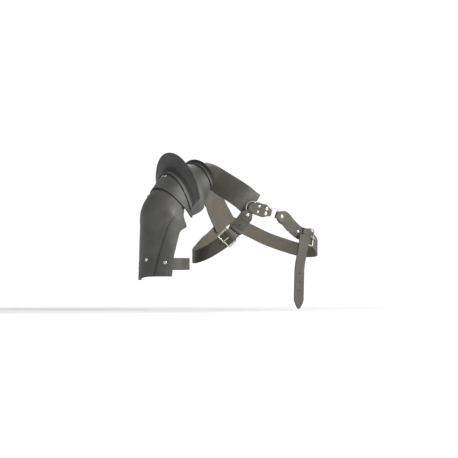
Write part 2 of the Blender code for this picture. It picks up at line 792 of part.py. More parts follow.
def build_buckled_side(number, table, buckle_spot, tail_start, strap_name):
    """A billet from a ring to a buckle, and the strap through that buckle round to the back."""
    route = chest_route(table)
    heel = route_length_to(table, buckle_spot) - BUCKLE_LENGTH / 2
    base = BASE_LIFT
    sinks = (RING_RIVET + 4 * RIVET_RADIUS, RING_RIVET + 9 * RIVET_RADIUS)
    folds = tuple(heel - before for before in FOLD_BEFORE_HEEL)
    closes = ((RING_RIVET + RIVET_RADIUS, RING_RIVET + 5 * RIVET_RADIUS), folds)
    billet = Doubled(route, RING_BEND, heel, (RAISED_LIFT, base), sinks, closes)
    width = ring_end_width(heel=heel)
    strap(f"billet_{number}", route, billet.profile(), width, STRAP_WALL, leather(f"billet_{number}_leather"))
    end = route.length - JUNCTION_MARGIN
    raised = RAISED_LIFT
    level_end, rising, risen = (end - before for before in LAP_RISE)
    level = steps(heel + BUCKLE_LENGTH + ROUTE_STEP, level_end, ROUTE_STEP)
    after = [(d, base) for d in level]
    after += [(rising, mix(base, raised, 0.5)), (risen, raised)]
    profile = buckled_profile(heel, base, tail_start, billet.high, end, after)
    strap(strap_name, route, profile, STRAP_WIDTH, STRAP_WALL, leather(f"{strap_name}_leather"))
    nickel = metal(f"buckle_{number}_nickel")
    buckle(f"buckle_{number}", route, heel, base + LOOP_RADIUS + SEAT_GAP, nickel)
    prong(f"prong_{number}", route, heel, base, metal(f"prong_{number}_nickel"))
    back_metal = metal(f"back_rivet_{number}_nickel")
    for side, across in enumerate(BACK_RIVETS_ACROSS):
        axes = route.frame(end - BACK_RIVET_INSET, raised + STRAP_WALL / 2, across)
        rivet(f"back_rivet_{number}_{side + 1}", axes, RIVET_RADIUS, back_metal)
    return route, billet, heel, profile


def build_harness():
    route, billet, heel, profile = build_buckled_side(
        1, RIGHT_TABLE, BUCKLE_1_SPOT, RING_RIVET + RIVET_RADIUS + 0.002, "armpit_strap"
    )
    distance = heel - KEEPER_INSET
    low = billet.low(distance) - STRAP_WALL / 2 - SEAT_GAP
    keeper("keeper_1", route, distance, low, profile, STRAP_WIDTH, leather("keeper_1_leather"))
    axes = route.frame(RING_RIVET, billet.high(RING_RIVET) + STRAP_WALL / 2)
    rivet("billet_rivet_1", axes, RIVET_RADIUS, metal("billet_rivet_nickel"))

    tail_start = route_length_to(LEFT_TABLE, BUCKLE_2_SPOT) - BUCKLE_LENGTH / 2 - KEEPER_INSET
    route, billet, heel, profile = build_buckled_side(
        2, LEFT_TABLE, BUCKLE_2_SPOT, tail_start, "far_strap"
    )
    for number, distance in ((2, RING_RIVET), (3, heel - LOW_RIVET_INSET)):
        axes = route.frame(distance, billet.high(distance) + STRAP_WALL / 2)
        rivet(f"billet_rivet_{number}", axes, RIVET_RADIUS, metal(f"billet_rivet_{number}_nickel"))
    build_free_tail(max(lift for distance, lift in profile if distance < heel - BUCKLE_LENGTH / 4))


TAIL_ANGLE, TAIL_DRIFT = math.radians(31.5), math.radians(2.0)
TAIL_TOP_SHARE = -0.575


def build_free_tail(strap_lift):
    """The free end of the far strap: folded over at its top, it hangs down the chest."""
    angle, drift = TAIL_ANGLE, TAIL_DRIFT
    top = TAIL_TOP_SHARE * GUARD_LENGTH
    points, normals = [], []
    for share in steps(0.0, 1.0, 0.02):
        spot, out = chest(angle - drift * share, top - FREE_TAIL_LENGTH * share)
        points.append(spot)
        normals.append(out)
    line = Route(points, normals)
    under = strap_lift + STRAP_WALL + 2 * SEAT_GAP
    radius = STRAP_WALL * 0.9
    profile = [(distance, under) for distance in steps(FOLDED_UNDER, radius, ROUTE_STEP / 2)]
    profile += bend((radius, under + radius), radius, 270, 90)[1:]
    places = steps(radius, FREE_TAIL_LENGTH - TAIL_POINT, ROUTE_STEP)[1:]
    places += steps(FREE_TAIL_LENGTH - TAIL_POINT, FREE_TAIL_LENGTH, TAIL_POINT / 4)[1:]
    for distance in places:
        fallen = ease(distance, radius, FREE_TAIL_LENGTH * 0.5)
        profile.append((distance, mix(under + 2 * radius, BASE_LIFT * 2, fallen)))
    width = pointed(FREE_TAIL_LENGTH, TAIL_POINT, STRAP_WIDTH)
    strap("free_tail", line, profile, width, STRAP_WALL, leather("tail_leather"))


# The strap round the arm

ARM_STRAP_HEIGHT_SHARE = -0.874
ARM_HEEL = math.radians(-86)
ARM_BILLET_END = math.radians(-57)
ARM_STRAP_END = math.radians(38 - 360)
ARM_TAIL_START = 0.016
ARM_STRAP_SINKS = (0.008, 0.022, 0.034)
# Rivet heads on the guard and the lame: arc number, degrees from the outer side
GUARD_RIVETS = (
    ("guard_rivet_centre", 0.72, 4.0, LAME_WALL / 2),
    ("guard_rivet_front", 0.60, 48.0, UNDER_LAYER + LAME_WALL / 2),
    ("guard_rivet_top", 4.62, -30.0, LAME_WALL / 2),
    ("lame_rivet_1", 5.72, 4.0, OVER_LAYER + LAME_WALL / 2),
    ("lame_rivet_2", 5.72, -6.0, OVER_LAYER + LAME_WALL / 2),
)


def build_arm_strap():
    height = ARM_STRAP_HEIGHT_SHARE * GUARD_LENGTH
    surface = UNDER_LAYER + LAME_WALL / 2
    route = arm_route(height, surface, ARM_BILLET_END, ARM_STRAP_END)
    radius = route.length / (ARM_BILLET_END - ARM_STRAP_END)
    heel = (ARM_BILLET_END - ARM_HEEL) * radius
    base = BASE_LIFT + SEAT_GAP
    closes = ((-2.0, -1.0), tuple(heel - before for before in FOLD_BEFORE_HEEL))
    billet = Doubled(route, 0.004, heel, (base, base), (0.0, heel), closes)
    points = [spot for spot in billet.profile() if spot[0] > billet.start + SEAT_GAP]
    strap("arm_billet", route, points, ARM_STRAP_WIDTH, STRAP_WALL, leather("arm_billet_leather"))
    inside = -(LAME_WALL + STRAP_WALL / 2 + 2 * SEAT_GAP)
    lifts = (base, mix(base, inside, 0.5), inside)
    after = [(heel + BUCKLE_LENGTH + past, lift) for past, lift in zip(ARM_STRAP_SINKS, lifts)]
    profile = buckled_profile(heel, base, ARM_TAIL_START, billet.high, route.length, after)
    strap("arm_strap", route, profile, ARM_STRAP_WIDTH, STRAP_WALL, leather("arm_strap_leather"))
    axes = route.frame(2.2 * RIVET_RADIUS, billet.high(2.2 * RIVET_RADIUS) + STRAP_WALL / 2)
    rivet("arm_billet_rivet", axes, RIVET_RADIUS, metal("arm_rivet_nickel"))
    buckle("arm_buckle", route, heel, base + LOOP_RADIUS, metal("arm_buckle_nickel"))
    prong("arm_prong", route, heel, base, metal("arm_prong_nickel"))


def build_guard_rivets():
    for name, number, angle, layer in GUARD_RIVETS:
        radius = SMALL_RIVET_RADIUS if name.startswith("lame") else RIVET_RADIUS
        rivet(name, form_axes(number, math.radians(angle), layer), radius, metal(f"{name}_nickel"))


build_shoulder_set()
build_hanger()
build_shoulder_strap()
build_chest_tab()
build_harness()
build_arm_strap()
build_guard_rivets()
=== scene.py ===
"""The looks of the leather pauldron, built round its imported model.

Metres, +Z up, the same frame as the part: the wearer faces -Y and the right arm is on the -X side.
Each leather or metal piece is rebuilt finely on the part's own lines and stands for its solid.
"""

import json
from math import asin, ceil, cos, floor, pi, radians, sin, sqrt

import bmesh
import bpy
from mathutils import Matrix, Vector, noise


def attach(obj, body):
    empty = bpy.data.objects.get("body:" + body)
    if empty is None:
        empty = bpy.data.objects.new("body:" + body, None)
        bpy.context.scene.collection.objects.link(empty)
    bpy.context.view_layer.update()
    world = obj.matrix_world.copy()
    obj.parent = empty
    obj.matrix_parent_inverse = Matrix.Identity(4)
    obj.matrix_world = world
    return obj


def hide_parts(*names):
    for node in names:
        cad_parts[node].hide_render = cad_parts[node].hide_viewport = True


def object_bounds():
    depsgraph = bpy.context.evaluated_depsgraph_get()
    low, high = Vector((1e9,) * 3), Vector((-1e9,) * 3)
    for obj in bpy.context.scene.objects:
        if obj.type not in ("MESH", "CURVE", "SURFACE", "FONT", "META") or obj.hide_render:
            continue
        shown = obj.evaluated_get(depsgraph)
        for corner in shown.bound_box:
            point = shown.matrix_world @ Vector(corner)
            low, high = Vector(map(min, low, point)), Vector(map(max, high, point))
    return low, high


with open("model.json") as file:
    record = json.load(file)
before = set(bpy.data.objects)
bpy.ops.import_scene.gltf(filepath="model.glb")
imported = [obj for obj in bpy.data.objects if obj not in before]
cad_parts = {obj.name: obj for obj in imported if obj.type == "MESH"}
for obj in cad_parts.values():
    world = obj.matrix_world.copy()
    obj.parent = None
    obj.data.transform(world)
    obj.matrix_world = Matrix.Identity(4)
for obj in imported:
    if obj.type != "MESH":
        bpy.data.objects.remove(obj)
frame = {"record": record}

CAD_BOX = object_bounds()

# Leather walls and the clearances between layers
LAME_WALL = 0.003
STRAP_WALL = 0.0025
LAYER_GAP = 0.00095
LAME_GAP = 0.0003
FOOT_GAP = 0.0001
SEAT_GAP = 0.0003
SEAT_RISE = 0.0040
SEAT_INSET = 0.016

# Straps
STRAP_WIDTH = 0.035
ARM_STRAP_WIDTH = 0.0315
SHOULDER_STRAP_WIDTH = 0.067
SHOULDER_STRAP_CURL = 0.20
FOLD_HALF_WIDTH = 0.0088
FOLD_FLARE = 0.6
FREE_TAIL_LENGTH = 0.198
TAIL_POINT = 0.022
BLUNT_SHARE, POINT_POWER = 0.16, 0.6
FOLDED_UNDER = 0.014
FOLD_BEFORE_HEEL = (0.016, 0.003)
LAP_RISE = (0.115, 0.100, 0.082)
BACK_RIVET_INSET = 0.012
KEEPER_INSET = 0.020
LOW_RIVET_INSET = 0.034

# The shoulder set: the arm's radius, the lengths of the guard and its parts
ARM_RADIUS = 0.068
GUARD_LENGTH = 0.262
GUARD_DROOP = 0.010
DROOP_ANGLES = (radians(-24), radians(50))
SHOULDER_TURN = radians(20)
ARM_OUT = 0.0985
ARM_FORWARD = 0.019
SEAM_LAP = radians(9)
FOOT_WIDTH_SHARE = 0.14

# The wearer's chest, as an oval
CHEST_HALF_WIDTH = 0.172
CHEST_HALF_DEPTH = 0.108
CHEST_OFFSET = 0.165

# Metal
WIRE = 0.004
RING_RADIUS = 0.016
BUCKLE_LENGTH = 0.026
BUCKLE_WIDTH = 0.0425
BUCKLE_CORNER = 0.003
HEEL_TAPER = 0.0025
TIP_BAR_RISE = 0.0012
PRONG_WIRE = 0.003
RIVET_RADIUS = 0.0048
SMALL_RIVET_RADIUS = 0.0034
RIVET_HEIGHT_SHARE = 0.5
KEEPER_LENGTH = 0.010
KEEPER_WALL = 0.002
KEEPER_CORNER = 0.0016
BACK_RIVETS_ACROSS = (-0.009, 0.009)
FLAP_RIVETS_ACROSS = 0.0080
TAB_RIVETS_ACROSS = 0.0065

# How finely the shapes are faceted
ARC_STEP = radians(9)
ROUTE_STEP = 0.004
KNOT_STEP = 0.0125
ROUTE_FINE = 24
PROFILE_FINE = 6
STRAP_COLUMNS = 8
BEND_STEPS = 12
RING_STEPS = 72
RIVET_SIDES = 36
EDGE_ROUND = 0.0007

# Arcs of the shoulder form, in shares of ARM_RADIUS: the arc's middle (out along the arm's side,
# up), how far its crown stands from that middle (out, up) and its half width, front to back.
# The lowest three are placed by shares of GUARD_LENGTH in their "up" column instead.
LOW_ARCS = (
    # out, up (share of GUARD_LENGTH), crown out, crown up, half width
    (0.06, -1.000, 1.06, 0.00, 1.06),
    (0.02, -0.763, 1.015, 0.00, 1.015),
    (0.00, -0.534, 0.993, 0.00, 0.993),
)
HIGH_ARCS = (
    # out, up, crown out, crown up, half width
    (0.000, -1.691, 0.971, 0.368, 1.000),
    (-0.176, -1.647, 0.941, 0.838, 0.985),
    (-0.441, -1.566, 0.882, 1.125, 0.941),
    (-0.471, -1.176, 0.331, 1.324, 0.853),
    (-1.029, -1.147, 0.441, 1.441, 1.059),
    (-1.353, -0.706, 0.294, 1.206, 0.941),
    (-1.603, -0.235, 0.147, 0.735, 0.853),
)
OUTER_FAN_ARC = (-0.662, -0.588, 0.476, 1.574, 1.206)
INNER_FAN_ARC = (-1.662, -0.147, 0.162, 0.868, 0.970)

# Where the pieces begin and end along the form, as arc numbers
GUARD_TOP = 5.35
LAME_LOW, LAME_ROOT, LAME_HIGH = 5.0, 6.0, 7.0
DOME_LOW, DOME_HIGH = 6.65, 9.0

# The arm guard's seam and free edge, as angles from its outer side at each arc number
SEAM_LINE = (
    (0.0, 24),
    (1.0, 33),
    (2.0, 48),
    (2.45, 55),
    (2.8, 63),
    (3.7, 69),
    (4.65, 68),
    (5.35, 66),
)
GUARD_EDGE = (
    (0.0, 65),
    (0.8, 68),
    (1.5, 77),
    (1.93, 85),
    (2.3, 107),
    (3.0, 103),
    (4.0, 87),
    (4.6, 76),
    (5.35, 72),
)
FAN_ENDS = (radians(92), radians(98))
LAME_ENDS = (radians(90), radians(104), radians(90))
DOME_ENDS = (radians(86), radians(90), radians(90))


def mix(first, last, share):
    return first + (last - first) * share


def ease(value, start, end):
    share = min(1.0, max(0.0, (value - start) / (end - start)))
    return share * share * (3 - 2 * share)


def catmull(before, first, last, after, share):
    """The point at a share of the way from first to last on a smooth curve through all four."""
    return 0.5 * (
        2 * first
        + (last - before) * share
        + (2 * before - 5 * first + 4 * last - after) * share**2
        + (3 * first - before - 3 * last + after) * share**3
    )


def smooth_at(values, place):
    """Reads a smooth curve through a list of numbers or vectors at a fractional index."""
    index = max(0, min(len(values) - 2, floor(place)))
    first, last = values[index], values[index + 1]
    before = values[index - 1] if index > 0 else 2 * first - last
    after = values[index + 2] if index + 2 < len(values) else 2 * last - first
    return catmull(before, first, last, after, place - index)


def straight_at(table, place):
    """Reads a table of (place, value) rows by straight lines between them."""
    if place <= table[0][0]:
        return table[0][1]
    for (start, first), (end, last) in zip(table, table[1:]):
        if place <= end:
            return mix(first, last, (place - start) / (end - start))
    return table[-1][1]


def steps(start, end, largest):
    """Evenly spaced values from start to end, no further apart than largest."""
    count = max(1, ceil(abs(end - start) / largest - 1e-6))
    return [mix(start, end, i / count) for i in range(count + 1)]


# Materials: procedural, in the object's own coordinates, so every size below is in metres


class Nodes:
    """A material's shader nodes, with short ways to add and join them, and its shade so far."""

    def __init__(self, name, colour):
        self.material = bpy.data.materials.new(name)
        self.material.use_nodes = True
        self.tree = self.material.node_tree
        self.shader = self.tree.nodes["Principled BSDF"]
        self.place = self.add("ShaderNodeTexCoord").outputs["Object"]
        self.colour, self.shade = colour, None

    def add(self, kind, inputs=(), **settings):
        """A node of this kind with these settings, its inputs set from a dictionary."""
        node = self.tree.nodes.new(kind)
        for key, value in settings.items():
            setattr(node, key, value)
        for key, value in dict(inputs).items():
            self.set(node.inputs[key], value)
        return node

    def set(self, socket, value):
        if isinstance(value, bpy.types.NodeSocket):
            self.tree.links.new(value, socket)
        else:
            socket.default_value = value

    def math(self, operation, first, second=0.5):
        return self.add("ShaderNodeMath", {0: first, 1: second}, operation=operation).outputs[0]

    def times(self, first, second):
        return self.math("MULTIPLY", first, second)

    def ramp(self, value, low, high, first=0.0, last=1.0):
        """Maps low..high of a value to first..last, clamped and eased."""
        inputs = dict(enumerate((value, low, high, first, last)))
        return self.add("ShaderNodeMapRange", inputs, interpolation_type="SMOOTHSTEP").outputs[0]

    def dye(self, factor, level, base=None):
        """Turns the shade by a factor into the colour at a level of its brightness. The first dye
        also gives the level to start from."""
        first = self.shade if base is None else tone(self.colour, base)
        inputs = {0: factor, 6: first, 7: tone(self.colour, level)}
        self.shade = self.add("ShaderNodeMix", inputs, data_type="RGBA").outputs[2]

    def stretched(self, scale):
        return self.add("ShaderNodeMapping", {"Vector": self.place, "Scale": scale}).outputs[0]

    def noise(self, size, detail, roughness, distortion=0.0, place=None):
        """Noise whose features are about this size."""
        inputs = {"Vector": place or self.place, "Scale": 1 / size, "Detail": detail}
        inputs.update({"Roughness": roughness, "Distortion": distortion})
        return self.add("ShaderNodeTexNoise", inputs).outputs["Fac"]

    def cells(self, size, place):
        """Distance to the borders of cells of about this size."""
        inputs = {"Vector": place, "Scale": 1 / size}
        cells = self.add("ShaderNodeTexVoronoi", inputs, feature="DISTANCE_TO_EDGE")
        return cells.outputs["Distance"]

    def vector(self, operation, inputs):
        return self.add("ShaderNodeVectorMath", inputs, operation=operation).outputs

    def cut_edges(self, layer):
        """Distances to the two opposite cut edges that one of sheet()'s UV maps holds."""
        uv = self.add("ShaderNodeUVMap", uv_map=layer).outputs[0]
        return self.add("ShaderNodeSeparateXYZ", {0: uv}).outputs[:2]

    def edge_distance(self):
        """Distance to the piece's nearest cut edge."""
        across = self.math("MINIMUM", *self.cut_edges("across"))
        return self.math("MINIMUM", across, self.math("MINIMUM", *self.cut_edges("along")))

    def bump(self, height, strength, distance, normal=None):
        inputs = {"Height": height, "Strength": strength, "Distance": distance}
        if normal is not None:
            inputs["Normal"] = normal
        return self.add("ShaderNodeBump", inputs).outputs[0]

    def finish(self, roughness, normal):
        for name, value in (("Base Color", self.shade), ("Roughness", roughness), ("Normal", normal)):
            self.set(self.shader.inputs[name], value)
        return self.material


def tone(colour, factor):
    return tuple(min(1.0, value * factor) for value in colour[:3]) + (1.0,)


def grain_side(name, colour, rough, wear=1.0, crease_shade=None):
    """Waxed, finished leather: mottled dye, pebbled grain, scuffs, and rubbed and darkened edges.
    Given four distances from the foot, the foot is paler and painted shade darkens the crease above it."""
    made = Nodes(name, colour)
    mottle = made.noise(0.055, 6.0, 0.62, 0.6)
    cloud = made.noise(0.016, 5.0, 0.6)
    made.dye(made.ramp(mottle, 0.32, 0.70), 1.18, 0.80)
    made.dye(made.ramp(cloud, 0.42, 0.75, 0.0, 0.35), 1.30)
    # The grain: small pebbles with wavy borders, dark in the valleys between them
    wave = made.add("ShaderNodeTexNoise", {"Vector": made.place, "Scale": 260.0}).outputs["Color"]
    wave = made.vector("SCALE", {0: wave, "Scale": 0.0012})[0]
    valley = made.ramp(made.cells(0.0010, made.vector("ADD", {0: made.place, 1: wave})[0]), 0.0, 0.16)
    made.dye(made.times(made.math("SUBTRACT", 1.0, valley), 0.35), 0.45)
    # Scuffs, drawn out along the piece and across it
    long_marks = made.noise(0.012, 5.0, 0.7, place=made.stretched((0.35, 0.35, 5.0)))
    cross_marks = made.noise(0.011, 5.0, 0.7, place=made.stretched((4.5, 0.4, 0.5)))
    marks = made.math("MAXIMUM", long_marks, cross_marks)
    scuffs = made.ramp(marks, 0.66, 0.80)
    made.dye(made.times(scuffs, 0.30 * wear), 2.1)
    # Edges: rubbed paler, dyed dark at the cut itself, and a creased line beside it
    edge = made.edge_distance()
    ragged = made.math("ADD", edge, made.times(made.math("SUBTRACT", cloud, 0.5), 0.006))
    made.dye(made.times(made.ramp(ragged, 0.0008, 0.0055, 1.0, 0.0), 0.28 * wear), 1.75)
    made.dye(made.ramp(edge, 0.0004, 0.0014, 0.85, 0.0), 0.22)
    line = made.math("ABSOLUTE", made.math("SUBTRACT", edge, 0.0030))
    groove = made.ramp(line, 0.0002, 0.0006, 1.0, 0.0)
    made.dye(made.times(groove, 0.45), 0.40)
    # Painted shade: the hollow bend above the fan's foot is darkened, and the foot below it is made
    # paler
    if crease_shade:
        start = made.cut_edges("along")[0]
        made.dye(made.times(made.ramp(start, crease_shade[0], crease_shade[1], 1.0, 0.0), 0.75), 1.9)
        into = made.ramp(start, crease_shade[0], crease_shade[1])
        out = made.ramp(start, crease_shade[2], crease_shade[3], 1.0, 0.0)
        made.dye(made.times(made.times(into, out), 0.72), 0.22)
    rough_map = made.ramp(cloud, 0.3, 0.8, rough - 0.06, rough + 0.10)
    rough_map = made.math("ADD", rough_map, made.times(scuffs, 0.10))
    fine = made.noise(0.0007, 3.0, 0.6)
    normal = made.bump(made.math("ADD", valley, made.times(fine, 0.5)), 0.24, 0.0003)
    normal = made.bump(made.math("SUBTRACT", marks, 0.5), 0.25, 0.0006, normal)
    normal = made.bump(mottle, 0.35, 0.004, normal)
    return made.finish(rough_map, made.bump(made.times(groove, -1.0), 0.5, 0.0006, normal))


def flesh_side(name, colour):
    """The leather's unfinished back: matt, fibrous and a little paler and browner."""
    made = Nodes(name, colour)
    fibre = made.noise(0.0016, 6.0, 0.75, 1.2)
    cloud = made.noise(0.03, 5.0, 0.6)
    made.dye(made.ramp(cloud, 0.3, 0.75), 1.25, 0.85)
    made.dye(made.ramp(fibre, 0.35, 0.7, 0.0, 0.5), 1.5)
    return made.finish(made.ramp(cloud, 0.2, 0.8, 0.80, 0.95), made.bump(fibre, 0.5, 0.0007))


def cut_edge(name, colour):
    """A burnished, black-dyed cut edge with faint layers."""
    made = Nodes(name, colour)
    layers = made.noise(0.0009, 3.0, 0.6, place=made.stretched((0.2, 0.2, 1.0)))
    made.dye(made.ramp(layers, 0.3, 0.75), 1.5, 0.7)
    return made.finish(made.ramp(layers, 0.2, 0.8, 0.38, 0.55), made.bump(layers, 0.25, 0.0003))


def nickel(name, colour):
    """Plated metal: a soft shine with tarnish, fine scratches and small dents."""
    made = Nodes(name, colour)
    tarnish = made.noise(0.006, 6.0, 0.65, 0.5)
    scratch = made.noise(0.0012, 4.0, 0.7, place=made.stretched((1.0, 0.25, 0.6)))
    made.dye(made.ramp(tarnish, 0.42, 0.72), 0.62, 1.0)
    made.dye(made.ramp(scratch, 0.62, 0.72, 0.0, 0.5), 1.25)
    made.shader.inputs["Metallic"].default_value = 1.0
    normal = made.bump(tarnish, 0.10, 0.0006, made.bump(scratch, 0.12, 0.0002))
    return made.finish(made.ramp(tarnish, 0.35, 0.75, 0.18, 0.42), normal)


def thread(name, colour):
    """Waxed thread, twisted in fine turns."""
    made = Nodes(name, colour)
    twist = made.noise(0.0006, 2.0, 0.5, place=made.stretched((1.0, 1.0, 0.35)))
    made.dye(made.ramp(twist, 0.35, 0.7), 1.6, 0.6)
    return made.finish(made.ramp(twist, 0.2, 0.8, 0.45, 0.65), made.bump(twist, 0.4, 0.0002))


GUARD_HIDE = (0.062, 0.0605, 0.0545)
FAN_HIDE = (0.037, 0.0365, 0.034)
STRAP_HIDE = (0.074, 0.069, 0.056)
EDGE_DYE = (0.012, 0.012, 0.011)
FLESH = (0.105, 0.092, 0.074)
NICKEL = (0.72, 0.69, 0.58)

EDGE = cut_edge("edge_dye", EDGE_DYE)
BACKING = flesh_side("flesh_side", FLESH)
# The fan's painted crease shade begins, is darkest, begins to fade and is gone at these distances from
# its foot
FAN_CREASE_SHADE = (0.0080, 0.0095, 0.0205, 0.0245)
HIDES = {
    "guard": grain_side("guard_leather", GUARD_HIDE, 0.44),
    "fan": grain_side("fan_leather", FAN_HIDE, 0.46, 0.7, FAN_CREASE_SHADE),
    "strap": grain_side("strap_leather", STRAP_HIDE, 0.50),
}
METAL = nickel("nickel", NICKEL)
STITCH = thread("black_thread", (0.010, 0.010, 0.010))
# Painted shade: near-black discs stand for the dark insides of the punched holes
HOLE_SHADE = flesh_side("hole_painted_shade", (0.006, 0.006, 0.006))

SLOTS = {entry["node"]: entry["material_slot"] for entry in frame["record"]["subparts"]}

# How far the whole shape wanders, and how fast, per metre. The seed gives each run the same wander.
WANDER, WANDER_RATE, WANDER_SEED = 0.0007, 14.0, 1
noise.seed_set(WANDER_SEED)
FORM_FINER = 4
ROUNDED_ANGLE = radians(55)


def warp(point):
    """A slow wander of the whole shape, so that no line is perfectly true."""
    return point + WANDER * noise.noise_vector(point * WANDER_RATE)


def ride(obj):
    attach(obj, "root")


def stand_for(obj, node):
    ride(obj)
    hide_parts(node)


def add_object(name, data, *materials):
    obj = bpy.data.objects.new(name, data)
    for item in materials:
        data.materials.append(item)
    bpy.context.scene.collection.objects.link(obj)
    return obj


def add_piece(name, data):
    """The fine piece for the part's node of this name, in its materials."""
    slot = SLOTS[name]
    materials = (METAL,) if slot == "nickel" else (HIDES[slot], BACKING, EDGE)
    return add_object(name + "_fine", data, *materials)


def refined(rows):
    """The same surface with more points: smooth curves through the given rows and columns."""

    def finer(line):
        return [smooth_at(line, i / FORM_FINER) for i in range((len(line) - 1) * FORM_FINER + 1)]

    columns = [finer(column) for column in zip(*[finer(row) for row in rows])]
    return [list(row) for row in zip(*columns)]


def distances(points):
    places = [0.0]
    for first, last in zip(points, points[1:]):
        places.append(places[-1] + (last - first).length)
    return places


def modify(obj, name, kind, **settings):
    modifier = obj.modifiers.new(name, kind)
    for key, value in settings.items():
        setattr(modifier, key, value)


def sheet(name, rows, wall, closed=False):
    """A leather sheet of even wall: a surface through rows of points, thickened, its cut edges
    rounded. Two UV maps hold each point's distances to the four cut edges."""
    rows = [[warp(point) for point in row] for row in rows]
    mesh = bpy.data.meshes.new(name + "_fine")
    build = bmesh.new()
    across_map = build.loops.layers.uv.new("across")
    along_map = build.loops.layers.uv.new("along")
    grid = [[build.verts.new(point) for point in row] for row in rows]
    across = [distances(row) for row in rows]
    along = [distances(column) for column in zip(*rows)]
    far = 1.0
    pairs = [(j, j + 1) for j in range(len(rows) - 1)] + ([(len(rows) - 1, 0)] if closed else [])
    for low, high in pairs:
        for i in range(len(rows[low]) - 1):
            corners = ((low, i), (low, i + 1), (high, i + 1), (high, i))
            face = build.faces.new([grid[j][k] for j, k in corners])
            face.smooth = True
            for loop, (j, k) in zip(face.loops, corners):
                loop[across_map].uv = (across[j][k], across[j][-1] - across[j][k])
                start, end = along[k][j], along[k][-1] - along[k][j]
                loop[along_map].uv = (far, far) if closed else (start, end)
    build.to_mesh(mesh)
    build.free()
    obj = add_piece(name, mesh)
    even = {"use_even_offset": True, "use_quality_normals": True, "offset": 0.0}
    modify(obj, "wall", "SOLIDIFY", thickness=wall, material_offset=1, material_offset_rim=2, **even)
    corner = {"limit_method": "ANGLE", "angle_limit": ROUNDED_ANGLE}
    modify(obj, "rounded", "BEVEL", width=EDGE_ROUND, segments=3, **corner)
    stand_for(obj, name)


def new_curve(name, thickness, resolution, caps):
    """An empty curve that becomes a round wire or thread of this thickness."""
    curve = bpy.data.curves.new(name, "CURVE")
    curve.dimensions = "3D"
    curve.bevel_depth = thickness / 2
    curve.bevel_resolution = resolution
    curve.use_fill_caps = caps
    return curve


def wire_ring(name, points, thickness, closed=True):
    """A bent wire through the points, of round section."""
    centre = sum(points, Vector()) / len(points)
    shift = warp(centre) - centre
    curve = new_curve(name + "_fine", thickness, 6, not closed)
    spline = curve.splines.new("POLY")
    spline.points.add(len(points) - 1)
    for spot, point in zip(spline.points, points):
        spot.co = (*(point + shift), 1.0)
    spline.use_cyclic_u = closed
    spline.use_smooth = True
    stand_for(add_piece(name, curve), name)


def circle(radius, count):
    """Points evenly round a circle, as (x, y)."""
    turns = [2 * pi * i / count for i in range(count)]
    return [(radius * cos(turn), radius * sin(turn)) for turn in turns]


def rounded_outline(half_wide, half_long, corner, count):
    """A rectangle round the origin, each corner an arc of this many steps, as (x, y)."""
    points = []
    for right, ahead, start in ((1, 1, 0), (-1, 1, 90), (-1, -1, 180), (1, -1, 270)):
        for turn in steps(radians(start), radians(start + 90), radians(90) / count):
            across = right * (half_wide - corner) + corner * cos(turn)
            points.append((across, ahead * (half_long - corner) + corner * sin(turn)))
    return points


def revolve(build, profile, sides, put):
    """Turns (radius, height) points round the Z axis, puts each in place and returns the first ring."""
    rings = []
    for radius, up in profile:
        rings.append([build.verts.new(put(Vector((x, y, up)))) for x, y in circle(radius, sides)])
    for low, high in zip(rings, rings[1:]):
        for i in range(sides):
            j = (i + 1) % sides
            build.faces.new((low[i], low[j], high[j], high[i])).smooth = True
    return rings[0]


def revolved_mesh(build, name):
    """Joins the points on the axis, turns the faces outwards and ends the mesh."""
    bmesh.ops.remove_doubles(build, verts=build.verts, dist=1e-6)
    bmesh.ops.recalc_face_normals(build, faces=build.faces)
    mesh = bpy.data.meshes.new(name)
    build.to_mesh(mesh)
    build.free()
    return mesh


# A rivet head in shares of its radius and height: where its dome ends, and its lip from there down
DOME_END = (0.90, 0.20)
LIP = ((0.93, 0.16), (0.97, 0.18), (1.0, 0.12), (1.0, 0.0), (0.0, 0.0))


def rivet(name, axes, radius):
    """A domed rivet head with a thin rolled lip, standing on its axes' XY plane."""
    turns = steps(0.0, pi / 2, pi / 20)
    dome = [(DOME_END[0] * sin(turn), mix(DOME_END[1], 1.0, cos(turn))) for turn in turns]
    profile = [(radius * out, radius * RIVET_HEIGHT_SHARE * up) for out, up in (*dome, *LIP)]
    axes = axes @ Matrix.Translation((0, 0, SEAT_GAP))
    shift = warp(axes.translation) - axes.translation
    build = bmesh.new()
    revolve(build, profile, RIVET_SIDES, lambda spot: axes @ spot + shift)
    stand_for(add_piece(name, revolved_mesh(build, name + "_fine")), name)


# The shoulder form

ARM_SIZES = (ARM_RADIUS, GUARD_LENGTH, ARM_RADIUS, ARM_RADIUS, ARM_RADIUS)
FORM_ARCS = [tuple(share * size for share, size in zip(arc, ARM_SIZES)) for arc in LOW_ARCS]
FORM_ARCS += [tuple(share * ARM_RADIUS for share in arc) for arc in HIGH_ARCS]
NEAR = 0.01

OUTWARD = Vector((-cos(SHOULDER_TURN), -sin(SHOULDER_TURN), 0))
FORWARD = Vector((sin(SHOULDER_TURN), -cos(SHOULDER_TURN), 0))
ARM_AXIS = Vector((-ARM_OUT, -ARM_FORWARD, 0))


def place(out, forward, up):
    """A point in the shoulder set's own directions, in the part's frame."""
    return ARM_AXIS + out * OUTWARD + forward * FORWARD + Vector((0, 0, up))


def arc_point(arc, angle):
    out, up, crown_out, crown_up, half = arc
    crown = cos(angle)
    return place(out + crown_out * crown, half * sin(angle), up + crown_up * crown)


def form_surface(number, angle):
    columns = zip(*FORM_ARCS)
    return arc_point([smooth_at(column, number) for column in columns], angle)


def form(number, angle, layer=0.0):
    """A point of the shoulder form: at an arc number and an angle from its crown, positive to the
    front, and a height above the form's own surface."""
    point = form_surface(number, angle)
    return point + layer * form_normal(number, angle) if layer else point


def form_normal(number, angle):
    up_along = form_surface(number + NEAR, angle) - form_surface(number - NEAR, angle)
    forward_along = form_surface(number, angle + NEAR) - form_surface(number, angle - NEAR)
    return forward_along.cross(up_along).normalized()


